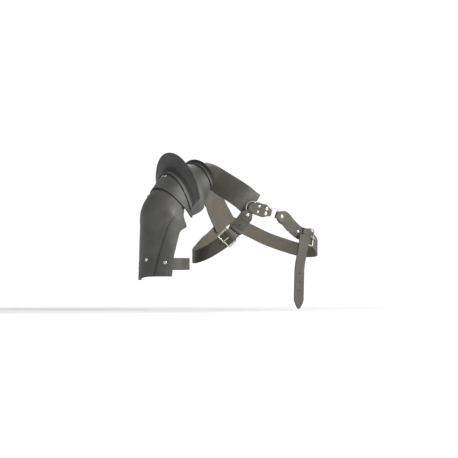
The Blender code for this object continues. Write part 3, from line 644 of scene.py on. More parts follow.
UNDER_LAYER = -(LAME_WALL + LAME_GAP)
OVER_LAYER = LAME_WALL + LAME_GAP
FOOT_LAYER = OVER_LAYER + LAME_WALL + FOOT_GAP

# The arm guard's rows, as (first, last, largest step) in arc numbers, and its panels' columns
GUARD_ROWS = ((0.0, 1.6, 0.4), (1.93, 2.3, 0.19), (2.6, GUARD_TOP, 0.5))
CENTRE_COLUMNS, SIDE_COLUMNS = 16, 5
# Rows of a standing fan, as shares of its rise
FAN_SHARES = (0.12, 0.3, 0.55, 0.8, 1.0)


def guard_panel(name, side):
    """One panel of the arm guard: side 0 is the centre panel, 1 the front and -1 the back."""
    layer = UNDER_LAYER if side else 0.0
    count = SIDE_COLUMNS if side else CENTRE_COLUMNS
    rows = []
    for number in [number for span in GUARD_ROWS for number in steps(*span)]:
        seam = radians(straight_at(SEAM_LINE, number))
        edge = radians(straight_at(GUARD_EDGE, number))
        low, high = (min(seam, edge - SEAM_LAP) - SEAM_LAP, edge) if side else (-seam, seam)
        row = []
        for i in range(count + 1):
            turned = mix(low, high, i / count) * (side or 1)
            droop = GUARD_DROOP * ease(-turned, *DROOP_ANGLES) * (1 - ease(number, 0.0, 1.0))
            row.append(form(number, turned, layer) - Vector((0, 0, droop)))
        rows.append(row if side >= 0 else row[::-1])
    sheet(name, refined(rows), LAME_WALL)


def lame(name, numbers, ends, layer):
    """A curved band over the shoulder, its ends at an angle that changes across the band."""
    rows = []
    for number in numbers:
        share = (number - numbers[0]) / (numbers[-1] - numbers[0])
        end = smooth_at(ends, share * (len(ends) - 1))
        count = 2 * ceil(radians(90) / ARC_STEP)
        rows.append([form(number, mix(-end, end, i / count), layer) for i in range(count + 1)])
    sheet(name, refined(rows), LAME_WALL)


def standing_fan(name, root, fan_arc, layer, hollow):
    """A plate that stands up from a lame: a foot lies on the lame, then a hollow bend, then the fan
    up to its free edge."""
    fan = tuple(value * ARM_RADIUS for value in fan_arc)
    count = 2 * ceil(FAN_ENDS[0] / ARC_STEP)
    turns = [2 * i / count - 1 for i in range(count + 1)]
    rows = []
    for foot in (root - FOOT_WIDTH_SHARE, root - FOOT_WIDTH_SHARE / 2, root):
        rows.append([form(foot, FAN_ENDS[0] * turn, layer) for turn in turns])
    for share in FAN_SHARES:
        row = []
        for turn in turns:
            angle = FAN_ENDS[0] * turn
            low, high = form(root, angle, layer), arc_point(fan, FAN_ENDS[1] * turn)
            along = form(root + NEAR, angle, layer) - form(root - NEAR, angle, layer)
            bow = low + along.normalized() * (high - low).length * hollow
            row.append((1 - share) ** 2 * low + 2 * share * (1 - share) * bow + share**2 * high)
        rows.append(row)
    sheet(name, refined(rows), LAME_WALL)


# Routes: lines on the wearer that straps follow


class Route:
    """A line with a surface normal at each point, read by the distance along it."""

    def __init__(self, points, normals):
        self.points, self.normals, self.places = points, normals, distances(points)
        self.length = self.places[-1]

    def at(self, distance):
        """(point, direction, side, normal) at a distance along the line, also past its ends."""
        index = 0
        while index < len(self.places) - 2 and self.places[index + 1] < distance:
            index += 1
        first, last = self.points[index], self.points[index + 1]
        share = (distance - self.places[index]) / (last - first).length
        inside = min(1.0, max(0.0, share))
        point = first.lerp(last, share)
        normal = self.normals[index].lerp(self.normals[index + 1], inside).normalized()
        before = self.points[max(0, index - 1)] if inside < 0.5 else first
        after = last if inside < 0.5 else self.points[min(len(self.points) - 1, index + 2)]
        direction = (last - first).normalized() + 0.5 * (after - before).normalized()
        direction = (direction - direction.dot(normal) * normal).normalized()
        return point, direction, direction.cross(normal), normal

    def spot(self, distance, lift, across=0.0):
        point, _, side, normal = self.at(distance)
        return point + lift * normal + across * side

    def frame(self, distance, lift, across=0.0):
        """Axes at a spot, for a part that lies there: X across, Y along, Z away from the wearer."""
        point, direction, side, normal = self.at(distance)
        axes = Matrix((side, direction, normal)).transposed().to_4x4()
        return Matrix.Translation(point + lift * normal + across * side) @ axes


def chest(angle, height):
    """(point, normal) of the oval at an angle from the front centre, positive to the wearer's left."""
    side, ahead = sin(angle), -cos(angle)
    point = Vector((CHEST_OFFSET + CHEST_HALF_WIDTH * side, CHEST_HALF_DEPTH * ahead, height))
    return point, Vector((side / CHEST_HALF_WIDTH, ahead / CHEST_HALF_DEPTH, 0)).normalized()


def chest_route(table):
    """A route through rows of (degrees round the chest, height in shares of GUARD_LENGTH)."""
    rows = [Vector((radians(angle), height * GUARD_LENGTH)) for angle, height in table]
    points, normals = [], []
    for i in range((len(rows) - 1) * ROUTE_FINE + 1):
        angle, height = smooth_at(rows, i / ROUTE_FINE)
        point, normal = chest(angle, height)
        points.append(point)
        normals.append(normal)
    return Route(points, normals)


ARM_ROUTE_STEP = radians(4)


def arm_route(height, radius_layer, start, end):
    """A route level round the arm, on the guard's outside, from one angle to another."""
    number = (height / GUARD_LENGTH - LOW_ARCS[0][1]) / (LOW_ARCS[1][1] - LOW_ARCS[0][1])
    points, normals = [], []
    for angle in steps(start, end, ARM_ROUTE_STEP):
        normals.append(form_normal(number, angle))
        points.append(form(number, angle) + radius_layer * normals[-1])
    return Route(points, normals)


def bend(centre, radius, start, end):
    """Points of a strap's bend in (distance, lift), from one angle to another, in degrees."""
    turns = [radians(mix(start, end, i / BEND_STEPS)) for i in range(BEND_STEPS + 1)]
    return [(centre[0] + radius * cos(turn), centre[1] + radius * sin(turn)) for turn in turns]


def smooth_profile(knots, fine=PROFILE_FINE):
    vectors = [Vector(knot) for knot in knots]
    return [tuple(smooth_at(vectors, i / fine)) for i in range((len(vectors) - 1) * fine + 1)]


def strap(name, route, profile, width, wall, curl=None):
    """A strap that follows a route. The profile is (distance, lift) points; width may be a function,
    and curl is the radius of its bend across, where it has one."""
    rows = []
    for distance, lift in profile:
        half = (width(distance) if callable(width) else width) / 2
        row = []
        for share in steps(-1.0, 1.0, 2 / STRAP_COLUMNS):
            drop = (half * share) ** 2 / (2 * curl) if curl else 0.0
            row.append(route.spot(distance, lift - drop, half * share))
        rows.append(row)
    sheet(name, rows, wall)


LOOP_RADIUS = WIRE / 2 + LAYER_GAP + STRAP_WALL / 2
LOOP_SPLIT = 2 * LOOP_RADIUS
PAIR_SPLIT = STRAP_WALL + SEAT_GAP
BASE_LIFT = STRAP_WALL / 2 + SEAT_GAP
RAISED_LIFT = LAME_WALL + SEAT_GAP + STRAP_WALL / 2 + SEAT_GAP
RING_BEND = sqrt(RING_RADIUS**2 - FOLD_HALF_WIDTH**2) - 2 * LAYER_GAP
RING_RIVET = RING_RADIUS + WIRE / 2 + SEAT_GAP + RIVET_RADIUS


class Doubled:
    """A strap folded round something at each end. Its lower layer sinks from the first lift to the
    last between two places, and its upper layer closes down on the lower one between its ends."""

    def __init__(self, route, start, end, lifts, sinks, closes=None):
        self.route, self.start, self.end = route, start, end
        self.lifts, self.sinks, self.closes = lifts, sinks, closes

    def low(self, distance):
        return mix(*self.lifts, ease(distance, *self.sinks))

    def high(self, distance):
        apart = 1.0
        if self.closes:
            first, last = self.closes
            apart -= ease(distance, *first) - ease(distance, *last)
        return self.low(distance) + mix(PAIR_SPLIT, LOOP_SPLIT, apart)

    def profile(self):
        middle = (self.start + self.end) / 2
        gap = 2 * SEAT_GAP
        step = ROUTE_STEP / 2
        radius = LOOP_SPLIT / 2
        points = [(d, self.low(d)) for d in steps(middle - gap, self.start, step)]
        points += bend((self.start, self.low(self.start) + radius), radius, 270, 90)[1:]
        points += [(d, self.high(d)) for d in steps(self.start, self.end, step)[1:]]
        points += bend((self.end, self.low(self.end) + radius), radius, 90, -90)[1:]
        points += [(d, self.low(d)) for d in steps(self.end, middle + gap, step)[1:]]
        return points


def ring_end_width(far=None, heel=None):
    """A width that narrows to the fold inside a ring at distance 0, and at far too if given, and a
    little towards a buckle's heel bar."""

    def width(distance):
        room = distance if far is None else min(distance, far - distance)
        taper = ease(distance, heel - BUCKLE_LENGTH / 3, heel) if heel else 0.0
        flared = FOLD_HALF_WIDTH + FOLD_FLARE * max(0.0, room - RING_BEND)
        return min(STRAP_WIDTH - HEEL_TAPER * taper, 2 * flared)

    return width


def ring(name, route, distance, lift):
    axes = route.frame(distance, lift)
    wire_ring(name, [axes @ Vector((x, y, 0)) for x, y in circle(RING_RADIUS, RING_STEPS)], WIRE)


def buckle(name, route, heel, lift):
    """A rectangular wire frame whose heel bar lies at a distance along the route."""
    first = route.spot(heel, lift)
    last = route.spot(heel + BUCKLE_LENGTH, lift + TIP_BAR_RISE)
    side = route.at(heel)[2]
    along = last - first
    along = (along - along.dot(side) * side).normalized()
    middle = (first + last) / 2
    outline = rounded_outline(BUCKLE_WIDTH / 2, (last - first).length / 2, BUCKLE_CORNER, 3)
    wire_ring(name, [middle + across * side + ahead * along for across, ahead in outline], WIRE)


# At a buckle: how far before the heel bar a tail's line ends and how far past it the bend begins, how
# high the prong lies over the bar at mid-length, and the angles at which strap and prong leave it
TAIL_STOP, BEND_START, PRONG_RISE = 0.003, 0.001, 0.0042
STRAP_TURN, PRONG_TURN = radians(40), radians(48)


def buckled_profile(heel, base, tail_start, over, end, after=()):
    """The (distance, lift) line of a strap through a buckle: its tail from tail_start on the billet,
    over the heel bar, down through the frame, under the tip bar and on to the strap's end."""
    tip = heel + BUCKLE_LENGTH
    bar = base + LOOP_RADIUS
    clear = LOOP_RADIUS + PAIR_SPLIT + 2 * SEAT_GAP
    turn = STRAP_TURN
    fine = KNOT_STEP / 3
    places = steps(tail_start, heel - TAIL_STOP, fine)
    knots = [(d, over(d) + PAIR_SPLIT + 1.5 * SEAT_GAP) for d in places]
    knots += [
        (heel + BEND_START, bar + clear),
        (heel + clear * sin(turn), bar + clear * cos(turn) + SEAT_GAP),
        (heel + 0.40 * BUCKLE_LENGTH, bar),
        (tip - 0.30 * BUCKLE_LENGTH, base + 2 * SEAT_GAP),
        (tip - 0.10 * BUCKLE_LENGTH, base),
        (tip + 0.10 * BUCKLE_LENGTH, base),
    ]
    knots += list(after)
    last = knots[-1]
    knots += [(d, last[1]) for d in steps(last[0], end, KNOT_STEP)[1:]]
    return smooth_profile(knots)


def prong(name, route, heel, base):
    """The buckle's prong, from the strap's hole to its rest on the tip bar."""
    bar = base + LOOP_RADIUS
    tip = heel + BUCKLE_LENGTH
    rest = bar + TIP_BAR_RISE + WIRE / 2 + 3 * SEAT_GAP + PRONG_WIRE / 2
    clear = LOOP_RADIUS + PAIR_SPLIT + SEAT_GAP + STRAP_WALL / 2 + PRONG_WIRE / 2 + 2 * SEAT_GAP
    turn = PRONG_TURN
    line = [
        (heel + clear * sin(turn), bar + clear * cos(turn)),
        (heel + 0.55 * BUCKLE_LENGTH, bar + PRONG_RISE),
        (tip - 0.2 * BUCKLE_LENGTH, rest),
        (tip + WIRE * 0.7, rest),
    ]
    wire_ring(name, [route.spot(d, lift) for d, lift in line], PRONG_WIRE, False)


def keeper(name, route, distance, low, profile, width):
    """A closed leather loop round the strap's layers, from the lowest to the one with this profile."""
    high = max(lift for d, lift in profile if abs(d - distance) < KEEPER_LENGTH) + STRAP_WALL / 2
    room = KEEPER_WALL / 2 + SEAT_GAP
    outline = rounded_outline(width / 2 + room, (high - low) / 2 + room, KEEPER_CORNER, 2)
    axes = route.frame(distance, (high + low) / 2)
    rows = []
    for across, up in outline:
        rows.append([axes @ Vector((across, d, up)) for d in (-KEEPER_LENGTH / 2, KEEPER_LENGTH / 2)])
    sheet(name, rows, KEEPER_WALL, closed=True)


def form_axes(number, angle, layer):
    """Axes on the shoulder form at the given height above it, Z outwards."""
    normal = form_normal(number, angle)
    turn = normal.to_track_quat("Z", "Y").to_matrix().to_4x4()
    return Matrix.Translation(form(number, angle) + layer * normal) @ turn


def pointed(route_end, length, width):
    """A width that narrows to a blunt point over the last length before route_end."""

    def at(distance):
        left = max(0.0, route_end - distance)
        return width * max(BLUNT_SHARE, min(1.0, (left / length) ** POINT_POWER))

    return at


# Rows of the lames and the hanger strap, in arc numbers, and how hollow each fan's bend is
LAME_STEP, DOME_STEP, HANGER_STEP = 0.25, 0.3, 0.2
HANGER_SPAN = (LAME_LOW + 0.05, DOME_HIGH - 0.1)
INNER_ROOT = DOME_HIGH - 0.1
OUTER_HOLLOW, INNER_HOLLOW = 0.35, 0.25
HANGER_LAYER = -(LAME_WALL + STRAP_WALL) / 2 - LAME_GAP


def build_shoulder_set():
    guard_panel("arm_guard_centre", 0)
    guard_panel("arm_guard_front", 1)
    guard_panel("arm_guard_back", -1)
    lame("middle_lame", steps(LAME_LOW, LAME_HIGH, LAME_STEP), LAME_ENDS, OVER_LAYER)
    lame("upper_lame", steps(DOME_LOW, DOME_HIGH, DOME_STEP), DOME_ENDS, 0.0)
    standing_fan("outer_haute_piece", LAME_ROOT, OUTER_FAN_ARC, FOOT_LAYER, OUTER_HOLLOW)
    standing_fan("inner_haute_piece", INNER_ROOT, INNER_FAN_ARC, OVER_LAYER, INNER_HOLLOW)


def build_hanger():
    half = asin(STRAP_WIDTH / 2 / ARM_RADIUS)
    rows = []
    for number in steps(*HANGER_SPAN, HANGER_STEP):
        rows.append([form(number, turn, HANGER_LAYER) for turn in steps(-half, half, ARC_STEP)])
    sheet("hanger_strap", refined(rows), STRAP_WALL)


# The harness

RING_1_SPOT = (-17.6, -0.303)
RING_2_SPOT = (1.8, -0.362)
BUCKLE_1_SPOT = (-40.6, -0.616)
BUCKLE_2_SPOT = (45.4, -0.596)
BACK_SPOT = (190.0, -0.450)
FLAP_ENDS = (-0.011, 0.0205)
FLAP_RIVET = 0.0150
RIGHT_TABLE = (
    # degrees round the chest, height in shares of GUARD_LENGTH
    RING_1_SPOT,
    (-28.0, -0.465),
    BUCKLE_1_SPOT,
    (-57.5, -0.724),
    (-75.0, -0.785),
    (-95.0, -0.802),
    (-120.0, -0.760),
    (-145.0, -0.640),
    (-159.0, -0.535),
    (-170.0, -0.450),
)
LEFT_TABLE = (
    RING_2_SPOT,
    (12.6, -0.412),
    (20.5, -0.485),
    (31.0, -0.560),
    BUCKLE_2_SPOT,
    (55.0, -0.640),
    (70.0, -0.700),
    (90.0, -0.735),
    (120.0, -0.730),
    (150.0, -0.640),
    (173.0, -0.520),
    BACK_SPOT,
)
JUNCTION_MARGINS = {1: 0.015, 2: 0.005}
TAIL_BEFORE_RIVET = 0.002


def route_length_to(table, spot):
    """Distance along a table's route from its first row to the given one."""
    return chest_route(table[: table.index(spot) + 2]).places[table.index(spot) * ROUTE_FINE]


def shoulder_strap_route():
    """The broad strap's line, from its front end on the chest over the shoulder to its back end."""
    seat = form(DOME_HIGH - 0.2, 0.0, HANGER_LAYER - STRAP_WALL / 2 - LAME_WALL + SEAT_RISE)
    seat -= SEAT_INSET * OUTWARD
    front, front_normal = chest(radians(-15.2), -0.282 * GUARD_LENGTH)
    chest_spot, chest_normal = chest(radians(-19.3), -0.254 * GUARD_LENGTH)
    back, back_normal = chest(radians(194.0), -0.500 * GUARD_LENGTH)
    upper_back, upper_back_normal = chest(radians(203.0), -0.330 * GUARD_LENGTH)
    side, depth = CHEST_HALF_WIDTH, CHEST_HALF_DEPTH
    rows = (
        (front, front_normal),
        (chest_spot, chest_normal),
        (Vector((0.482 * side, -0.833 * depth, -0.167 * GUARD_LENGTH)), Vector((-0.40, -0.90, 0.18))),
        (Vector((0.259 * side, -0.278 * depth, -0.023 * GUARD_LENGTH)), Vector((-0.50, -0.76, 0.42))),
        (seat, Vector((-0.30, -0.02, 0.95))),
        (Vector((0.130 * side, 0.540 * depth, -0.004 * GUARD_LENGTH)), Vector((-0.40, 0.72, 0.50))),
        (Vector((0.460 * side, 0.880 * depth, -0.190 * GUARD_LENGTH)), Vector((-0.40, 0.90, 0.18))),
        (upper_back, upper_back_normal),
        (back, back_normal),
    )
    points, normals = [], []
    for i in range((len(rows) - 1) * ROUTE_FINE + 1):
        points.append(smooth_at([row[0] for row in rows], i / ROUTE_FINE))
        normals.append(smooth_at([row[1] for row in rows], i / ROUTE_FINE).normalized())
    return Route(points, normals)


def build_shoulder_strap():
    route = shoulder_strap_route()
    profile = [(d, LAME_WALL / 2) for d in steps(0.0, route.length, ROUTE_STEP)]
    width, curl = SHOULDER_STRAP_WIDTH, SHOULDER_STRAP_CURL
    strap("shoulder_strap", route, profile, width, LAME_WALL, curl)


def build_chest_tab():
    """The tab folded through both rings, the flap over the first ring, and two pairs of rivets."""
    middle = tuple(mix(first, last, 0.5) for first, last in zip(RING_1_SPOT, RING_2_SPOT))
    route = chest_route((RING_1_SPOT, middle, RING_2_SPOT))
    start, end = RING_BEND, route.length - RING_BEND
    tab = Doubled(route, start, end, (RAISED_LIFT, RAISED_LIFT), (start, end))
    width = ring_end_width(route.length)
    strap("chest_tab", route, tab.profile(), width, STRAP_WALL)
    flap_lift = tab.high(0.0) + PAIR_SPLIT + SEAT_GAP
    flap = [(d, flap_lift) for d in steps(*FLAP_ENDS, ROUTE_STEP / 2)]

    def flap_width(distance):
        return mix(2 * FOLD_HALF_WIDTH, STRAP_WIDTH, ease(distance, FLAP_ENDS[0], RING_BEND))

    strap("ring_flap", route, flap, flap_width, STRAP_WALL)
    big_spot = route.length - RING_RIVET
    for number, (distance, lift, across, radius) in enumerate(
        (
            (FLAP_RIVET, flap_lift, FLAP_RIVETS_ACROSS, SMALL_RIVET_RADIUS),
            (FLAP_RIVET, flap_lift, -FLAP_RIVETS_ACROSS, SMALL_RIVET_RADIUS),
            (big_spot, tab.high(big_spot), TAB_RIVETS_ACROSS, RIVET_RADIUS),
            (big_spot, tab.high(big_spot), -TAB_RIVETS_ACROSS, RIVET_RADIUS),
        )
    ):
        axes = route.frame(distance, lift + STRAP_WALL / 2, across)
        rivet(f"tab_rivet_{number + 1}", axes, radius)
    lift = RAISED_LIFT + LOOP_RADIUS
    ring("ring_1", route, 0.0, lift + SEAT_GAP)
    ring("ring_2", route, route.length, lift + SEAT_GAP)


def build_buckled_side(number, table, buckle_spot, tail_start, strap_name):
    """A billet from a ring to a buckle, and the strap through that buckle round to the back."""
    route = chest_route(table)
    heel = route_length_to(table, buckle_spot) - BUCKLE_LENGTH / 2
    base = BASE_LIFT
    sinks = (RING_RIVET + 4 * RIVET_RADIUS, RING_RIVET + 9 * RIVET_RADIUS)
    folds = tuple(heel - before for before in FOLD_BEFORE_HEEL)
    closes = ((RING_RIVET + RIVET_RADIUS, RING_RIVET + 5 * RIVET_RADIUS), folds)
    billet = Doubled(route, RING_BEND, heel, (RAISED_LIFT, base), sinks, closes)
    width = ring_end_width(heel=heel)
    strap(f"billet_{number}", route, billet.profile(), width, STRAP_WALL)
    end = route.length - JUNCTION_MARGINS[number]
    raised = RAISED_LIFT
    level_end, rising, risen = (end - before for before in LAP_RISE)
    level = steps(heel + BUCKLE_LENGTH + KNOT_STEP, level_end, KNOT_STEP)
    after = [(d, base) for d in level]
    after += [(rising, mix(base, raised, 0.5)), (risen, raised)]
    profile = buckled_profile(heel, base, tail_start, billet.high, end, after)
    strap(strap_name, route, profile, STRAP_WIDTH, STRAP_WALL)
    buckle(f"buckle_{number}", route, heel, base + LOOP_RADIUS + SEAT_GAP)
    prong(f"prong_{number}", route, heel, base)
    for side, across in enumerate(BACK_RIVETS_ACROSS):
        axes = route.frame(end - BACK_RIVET_INSET, raised + STRAP_WALL / 2, across)
        rivet(f"back_rivet_{number}_{side + 1}", axes, RIVET_RADIUS)
    return route, billet, heel, profile


def build_harness():
    """Both buckled sides and the free tail; returns what the punched holes need of each."""
    right_start = RING_RIVET + RIVET_RADIUS + TAIL_BEFORE_RIVET
    right = build_buckled_side(1, RIGHT_TABLE, BUCKLE_1_SPOT, right_start, "armpit_strap")
    route, billet, heel, profile = right
    distance = heel - KEEPER_INSET
    low = billet.low(distance) - STRAP_WALL / 2 - SEAT_GAP
    keeper("keeper_1", route, distance, low, profile, STRAP_WIDTH)
    axes = route.frame(RING_RIVET, billet.high(RING_RIVET) + STRAP_WALL / 2)
    rivet("billet_rivet_1", axes, RIVET_RADIUS)

    far_start = route_length_to(LEFT_TABLE, BUCKLE_2_SPOT) - BUCKLE_LENGTH / 2 - KEEPER_INSET
    far = build_buckled_side(2, LEFT_TABLE, BUCKLE_2_SPOT, far_start, "far_strap")
    route, billet, heel, profile = far
    for number, distance in ((2, RING_RIVET), (3, heel - LOW_RIVET_INSET)):
        axes = route.frame(distance, billet.high(distance) + STRAP_WALL / 2)
        rivet(f"billet_rivet_{number}", axes, RIVET_RADIUS)
    highest = max(lift for distance, lift in profile if distance < heel - BUCKLE_LENGTH / 4)
    return right, far, build_free_tail(highest)


TAIL_ANGLE, TAIL_DRIFT = radians(31.5), radians(2.0)
TAIL_TOP_SHARE = -0.575


def build_free_tail(strap_lift):
    """The free end of the far strap: folded over at its top, it hangs down the chest."""
    angle, drift = TAIL_ANGLE, TAIL_DRIFT
    top = TAIL_TOP_SHARE * GUARD_LENGTH
    points, normals = [], []
    for share in steps(0.0, 1.0, 0.02):
        spot, out = chest(angle - drift * share, top - FREE_TAIL_LENGTH * share)
        points.append(spot)
        normals.append(out)
    line = Route(points, normals)
    under = strap_lift + STRAP_WALL + 2 * SEAT_GAP
    radius = STRAP_WALL * 0.9
    profile = [(distance, under) for distance in steps(FOLDED_UNDER, radius, ROUTE_STEP / 2)]
    profile += bend((radius, under + radius), radius, 270, 90)[1:]
    places = steps(radius, FREE_TAIL_LENGTH - TAIL_POINT, ROUTE_STEP)[1:]
    places += steps(FREE_TAIL_LENGTH - TAIL_POINT, FREE_TAIL_LENGTH, TAIL_POINT / 4)[1:]
    for distance in places:
        fallen = ease(distance, radius, FREE_TAIL_LENGTH * 0.5)
        profile.append((distance, mix(under + 2 * radius, BASE_LIFT * 2, fallen)))
    width = pointed(FREE_TAIL_LENGTH, TAIL_POINT, STRAP_WIDTH)
    strap("free_tail", line, profile, width, STRAP_WALL)
    return line, profile


# The strap round the arm

ARM_STRAP_HEIGHT_SHARE = -0.874
ARM_HEEL = radians(-86)
ARM_BILLET_END = radians(-57)
ARM_STRAP_END = radians(38 - 360)
ARM_TAIL_START = 0.016
ARM_STRAP_SINKS = (0.008, 0.022, 0.034)
# Rivet heads on the guard and the lame: arc number, degrees from the outer side
GUARD_RIVETS = (
    ("guard_rivet_centre", 0.72, 4.0, LAME_WALL / 2),
    ("guard_rivet_front", 0.60, 48.0, UNDER_LAYER + LAME_WALL / 2),
    ("guard_rivet_top", 4.62, -30.0, LAME_WALL / 2),
    ("lame_rivet_1", 5.72, 4.0, OVER_LAYER + LAME_WALL / 2),
    ("lame_rivet_2", 5.72, -6.0, OVER_LAYER + LAME_WALL / 2),
)


def build_arm_strap():
    height = ARM_STRAP_HEIGHT_SHARE * GUARD_LENGTH
    surface = UNDER_LAYER + LAME_WALL / 2
    route = arm_route(height, surface, ARM_BILLET_END, ARM_STRAP_END)
    radius = route.length / (ARM_BILLET_END - ARM_STRAP_END)
    heel = (ARM_BILLET_END - ARM_HEEL) * radius
    base = BASE_LIFT + SEAT_GAP
    closes = ((-2.0, -1.0), tuple(heel - before for before in FOLD_BEFORE_HEEL))
    billet = Doubled(route, 0.004, heel, (base, base), (0.0, heel), closes)
    points = [spot for spot in billet.profile() if spot[0] > billet.start + SEAT_GAP]
    strap("arm_billet", route, points, ARM_STRAP_WIDTH, STRAP_WALL)
    inside = -(LAME_WALL + STRAP_WALL / 2 + 2 * SEAT_GAP)
    lifts = (base, mix(base, inside, 0.5), inside)
    after = [(heel + BUCKLE_LENGTH + past, lift) for past, lift in zip(ARM_STRAP_SINKS, lifts)]
    profile = buckled_profile(heel, base, ARM_TAIL_START, billet.high, route.length, after)
    strap("arm_strap", route, profile, ARM_STRAP_WIDTH, STRAP_WALL)
    axes = route.frame(2.2 * RIVET_RADIUS, billet.high(2.2 * RIVET_RADIUS) + STRAP_WALL / 2)
    rivet("arm_billet_rivet", axes, RIVET_RADIUS)
    buckle("arm_buckle", route, heel, base + LOOP_RADIUS)
    prong("arm_prong", route, heel, base)


def build_guard_rivets():
    for name, number, angle, layer in GUARD_RIVETS:
        radius = SMALL_RIVET_RADIUS if name.startswith("lame") else RIVET_RADIUS
        rivet(name, form_axes(number, radians(angle), layer), radius)


# Details that only the render needs: the seams' stitches and the straps' punched holes

STITCH_LENGTH, STITCH_PITCH, STITCH_THICK = 0.0050, 0.0082, 0.0016
STITCH_INSET = 0.0045
STITCH_STEPS = 6
# The stitched stretch of the seam and the step of its line, in arc numbers
STITCHED = (0.1, 4.6, 0.02)
# A stitch stands this share of its thickness above the leather, and sinks this much at its ends,
# where it is thinner by the last share
STITCH_STAND, STITCH_SINK, STITCH_TAPER = 0.42, 0.95, 0.25


def build_stitches(name, side):
    """A row of black stitches on a side panel of the arm guard, beside the centre panel's edge."""
    points, normals = [], []
    for number in steps(*STITCHED):
        angle = side * (radians(straight_at(SEAM_LINE, number)) + STITCH_INSET / ARM_RADIUS)
        points.append(form(number, angle, UNDER_LAYER + LAME_WALL / 2))
        normals.append(form_normal(number, angle))
    line = Route(points, normals)
    curve = new_curve(name, STITCH_THICK, 3, True)
    for i in range(int(line.length / STITCH_PITCH)):
        spline = curve.splines.new("POLY")
        spline.points.add(STITCH_STEPS)
        for k, spot in enumerate(spline.points):
            share = 2 * k / STITCH_STEPS - 1
            distance = (i + 0.5) * STITCH_PITCH + share * STITCH_LENGTH / 2
            lift = STITCH_THICK * (STITCH_STAND - STITCH_SINK * share**4)
            spot.co = (*warp(line.spot(distance, lift)), 1.0)
            spot.radius = 1.0 - STITCH_TAPER * share**2
    ride(add_object(name, curve, STITCH))


HOLE_RADIUS, HOLE_SIDES = 0.0021, 20
# A hole's section from its buried rim to its middle: share of its radius, height over the strap
HOLE_SECTION = ((1.0, -0.0002), (1.0, 0.00012), (0.86, 0.00016), (0.7, 0.00004), (0.0, 0.00002))
HOLES_AFTER_RIGHT_BUCKLE = (0.011,)
HOLES_ON_RIGHT_TAIL = (0.056, 0.076)
HOLES_AFTER_FAR_BUCKLE = (0.014, 0.034)
HOLES_ON_FREE_TAIL = (0.080, 0.103, 0.126, 0.149)


def build_holes(name, route, profile, places):
    """Punched holes at distances along a strap: slightly sunken discs on its face in a near-black matt
    finish, painted shade that stands for each hole's dark inside.
    """
    build = bmesh.new()
    section = [(HOLE_RADIUS * share, up) for share, up in HOLE_SECTION]
    for distance in places:
        lift = max(lift for place, lift in profile if abs(place - distance) < HOLE_RADIUS)
        axes = route.frame(distance, lift + STRAP_WALL / 2)
        rim = revolve(build, section, HOLE_SIDES, lambda spot: warp(axes @ spot))
        build.faces.new(rim[::-1])
    ride(add_object(name, revolved_mesh(build, name), HOLE_SHADE))


def build_strap_holes(name, side, on_tail, past_buckle):
    """Holes in a buckled side's strap: on its tail, and past its buckle."""
    route, _, heel, profile = side
    places = list(on_tail) + [heel + BUCKLE_LENGTH + past for past in past_buckle]
    build_holes(name, route, profile, places)


build_shoulder_set()
build_hanger()
build_shoulder_strap()
build_chest_tab()
right_side, far_side, tail = build_harness()
build_arm_strap()
build_guard_rivets()
build_strap_holes("right_holes", right_side, HOLES_ON_RIGHT_TAIL, HOLES_AFTER_RIGHT_BUCKLE)
build_strap_holes("far_holes", far_side, (), HOLES_AFTER_FAR_BUCKLE)
build_holes("tail_holes", *tail, HOLES_ON_FREE_TAIL)
build_stitches("front_seam_stitches", 1)
build_stitches("back_seam_stitches", -1)


# The studio: pale floor, soft light, and the camera at the photograph's angle

PHOTO_SCALE = 0.00267
PHOTO_SIZE = 458
PHOTO_AZIMUTH = -22
# The chest's middle, at the height of the frame's origin, is this far right of the photograph's
# middle and above it, in its pixels
CHEST_RIGHT, CHEST_ABOVE = 26, 51
LENS, SENSOR = 600.0, 36.0


def way_to(azimuth, elevation):
    """The direction at an azimuth round the part, where 0 is in front and 90 to the right."""
    a, e = radians(azimuth), radians(elevation)
    return Vector((sin(a) * cos(e), -cos(a) * cos(e), sin(e)))


def add_aimed(name, data, target, way, distance):
    """A camera or light that stands this way from a target and looks at it."""
    obj = add_object(name, data)
    obj.location = target + way * distance
    obj.rotation_euler = way.to_track_quat("Z", "Y").to_euler()
    return obj


def add_camera():
    camera = bpy.data.cameras.new("camera")
    camera.lens, camera.sensor_width = LENS, SENSOR
    camera.clip_end = FLOOR_SIZE
    back = way_to(PHOTO_AZIMUTH, 0)
    right = Vector((-back.y, back.x, 0))
    target = Vector((CHEST_OFFSET, 0, -CHEST_ABOVE * PHOTO_SCALE)) - CHEST_RIGHT * PHOTO_SCALE * right
    distance = PHOTO_SIZE * PHOTO_SCALE * LENS / SENSOR
    bpy.context.scene.camera = add_aimed("camera", camera, target, back, distance)


FLOOR_SIZE = 60.0
FLOOR_DROP = 0.004
FLOOR_COLOUR = (0.86, 0.86, 0.86)
SKY_COLOUR = (0.97, 0.98, 1.0, 1.0)
GLOW_START, GLOW_END, GLOW = 0.5, 2.6, 0.80


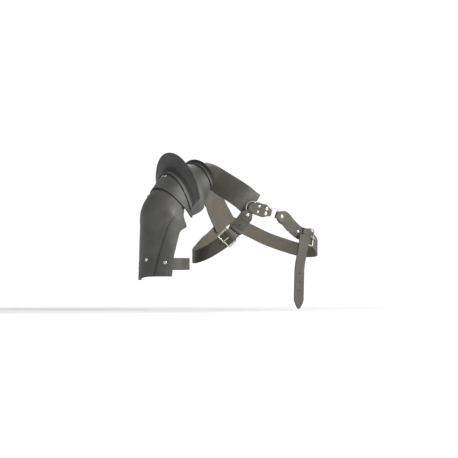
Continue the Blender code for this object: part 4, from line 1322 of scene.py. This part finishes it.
def floor_material():
    """Pale and matt near the part; further out it glows a little, so that it meets the sky unseen."""
    made = Nodes("floor", FLOOR_COLOUR)
    fine = made.noise(0.02, 3.0, 0.5)
    made.dye(fine, 1.015, 0.985)
    reach = made.vector("LENGTH", {0: made.place})["Value"]
    made.set(made.shader.inputs["Emission Color"], SKY_COLOUR)
    made.set(made.shader.inputs["Emission Strength"], made.ramp(reach, GLOW_START, GLOW_END, 0.0, GLOW))
    made.shader.inputs["Specular IOR Level"].default_value = 0.1
    return made.finish(made.ramp(fine, 0.3, 0.7, 0.88, 0.96), made.bump(fine, 0.02, 0.0005))


def add_floor():
    """A wide pale floor just below the part."""
    level = CAD_BOX[0][2] - FLOOR_DROP
    half = FLOOR_SIZE / 2
    corners = [(x, y, level) for x, y in ((-half, -half), (half, -half), (half, half), (-half, half))]
    mesh = bpy.data.meshes.new("floor")
    mesh.from_pydata(corners, [], [(0, 1, 2, 3)])
    add_object("floor", mesh, floor_material())


LIT_SPOT = Vector((0.08, 0, -0.1))
# Azimuth and elevation in degrees, distance, size and power
LIGHTS = {
    "key": (32, 27, 2.2, 1.0, 50),
    "fill": (-70, 15, 2.6, 1.6, 6),
    "rim": (170, 50, 2.4, 1.2, 20),
}


def add_lights():
    """Soft square lights round the part."""
    for name, (azimuth, elevation, distance, size, power) in LIGHTS.items():
        light = bpy.data.lights.new(name, "AREA")
        light.shape, light.size, light.energy = "SQUARE", size, power
        add_aimed(name, light, LIT_SPOT, way_to(azimuth, elevation), distance)


SKY_LIGHT, SKY_SEEN = 0.42, 1.05


def add_world():
    """A pale sky that looks brighter to the camera than it lights the part."""
    world = bpy.data.worlds.new("studio")
    bpy.context.scene.world = world
    world.use_nodes = True
    tree = world.node_tree
    sky = tree.nodes["Background"]
    path = tree.nodes.new("ShaderNodeLightPath")
    strength = tree.nodes.new("ShaderNodeMapRange")
    tree.links.new(path.outputs["Is Camera Ray"], strength.inputs[0])
    strength.inputs[3].default_value, strength.inputs[4].default_value = SKY_LIGHT, SKY_SEEN
    tree.links.new(strength.outputs[0], sky.inputs[1])
    sky.inputs[0].default_value = SKY_COLOUR
    bpy.context.scene.view_settings.view_transform = "Standard"


add_camera()
add_floor()
add_world()
add_lights()
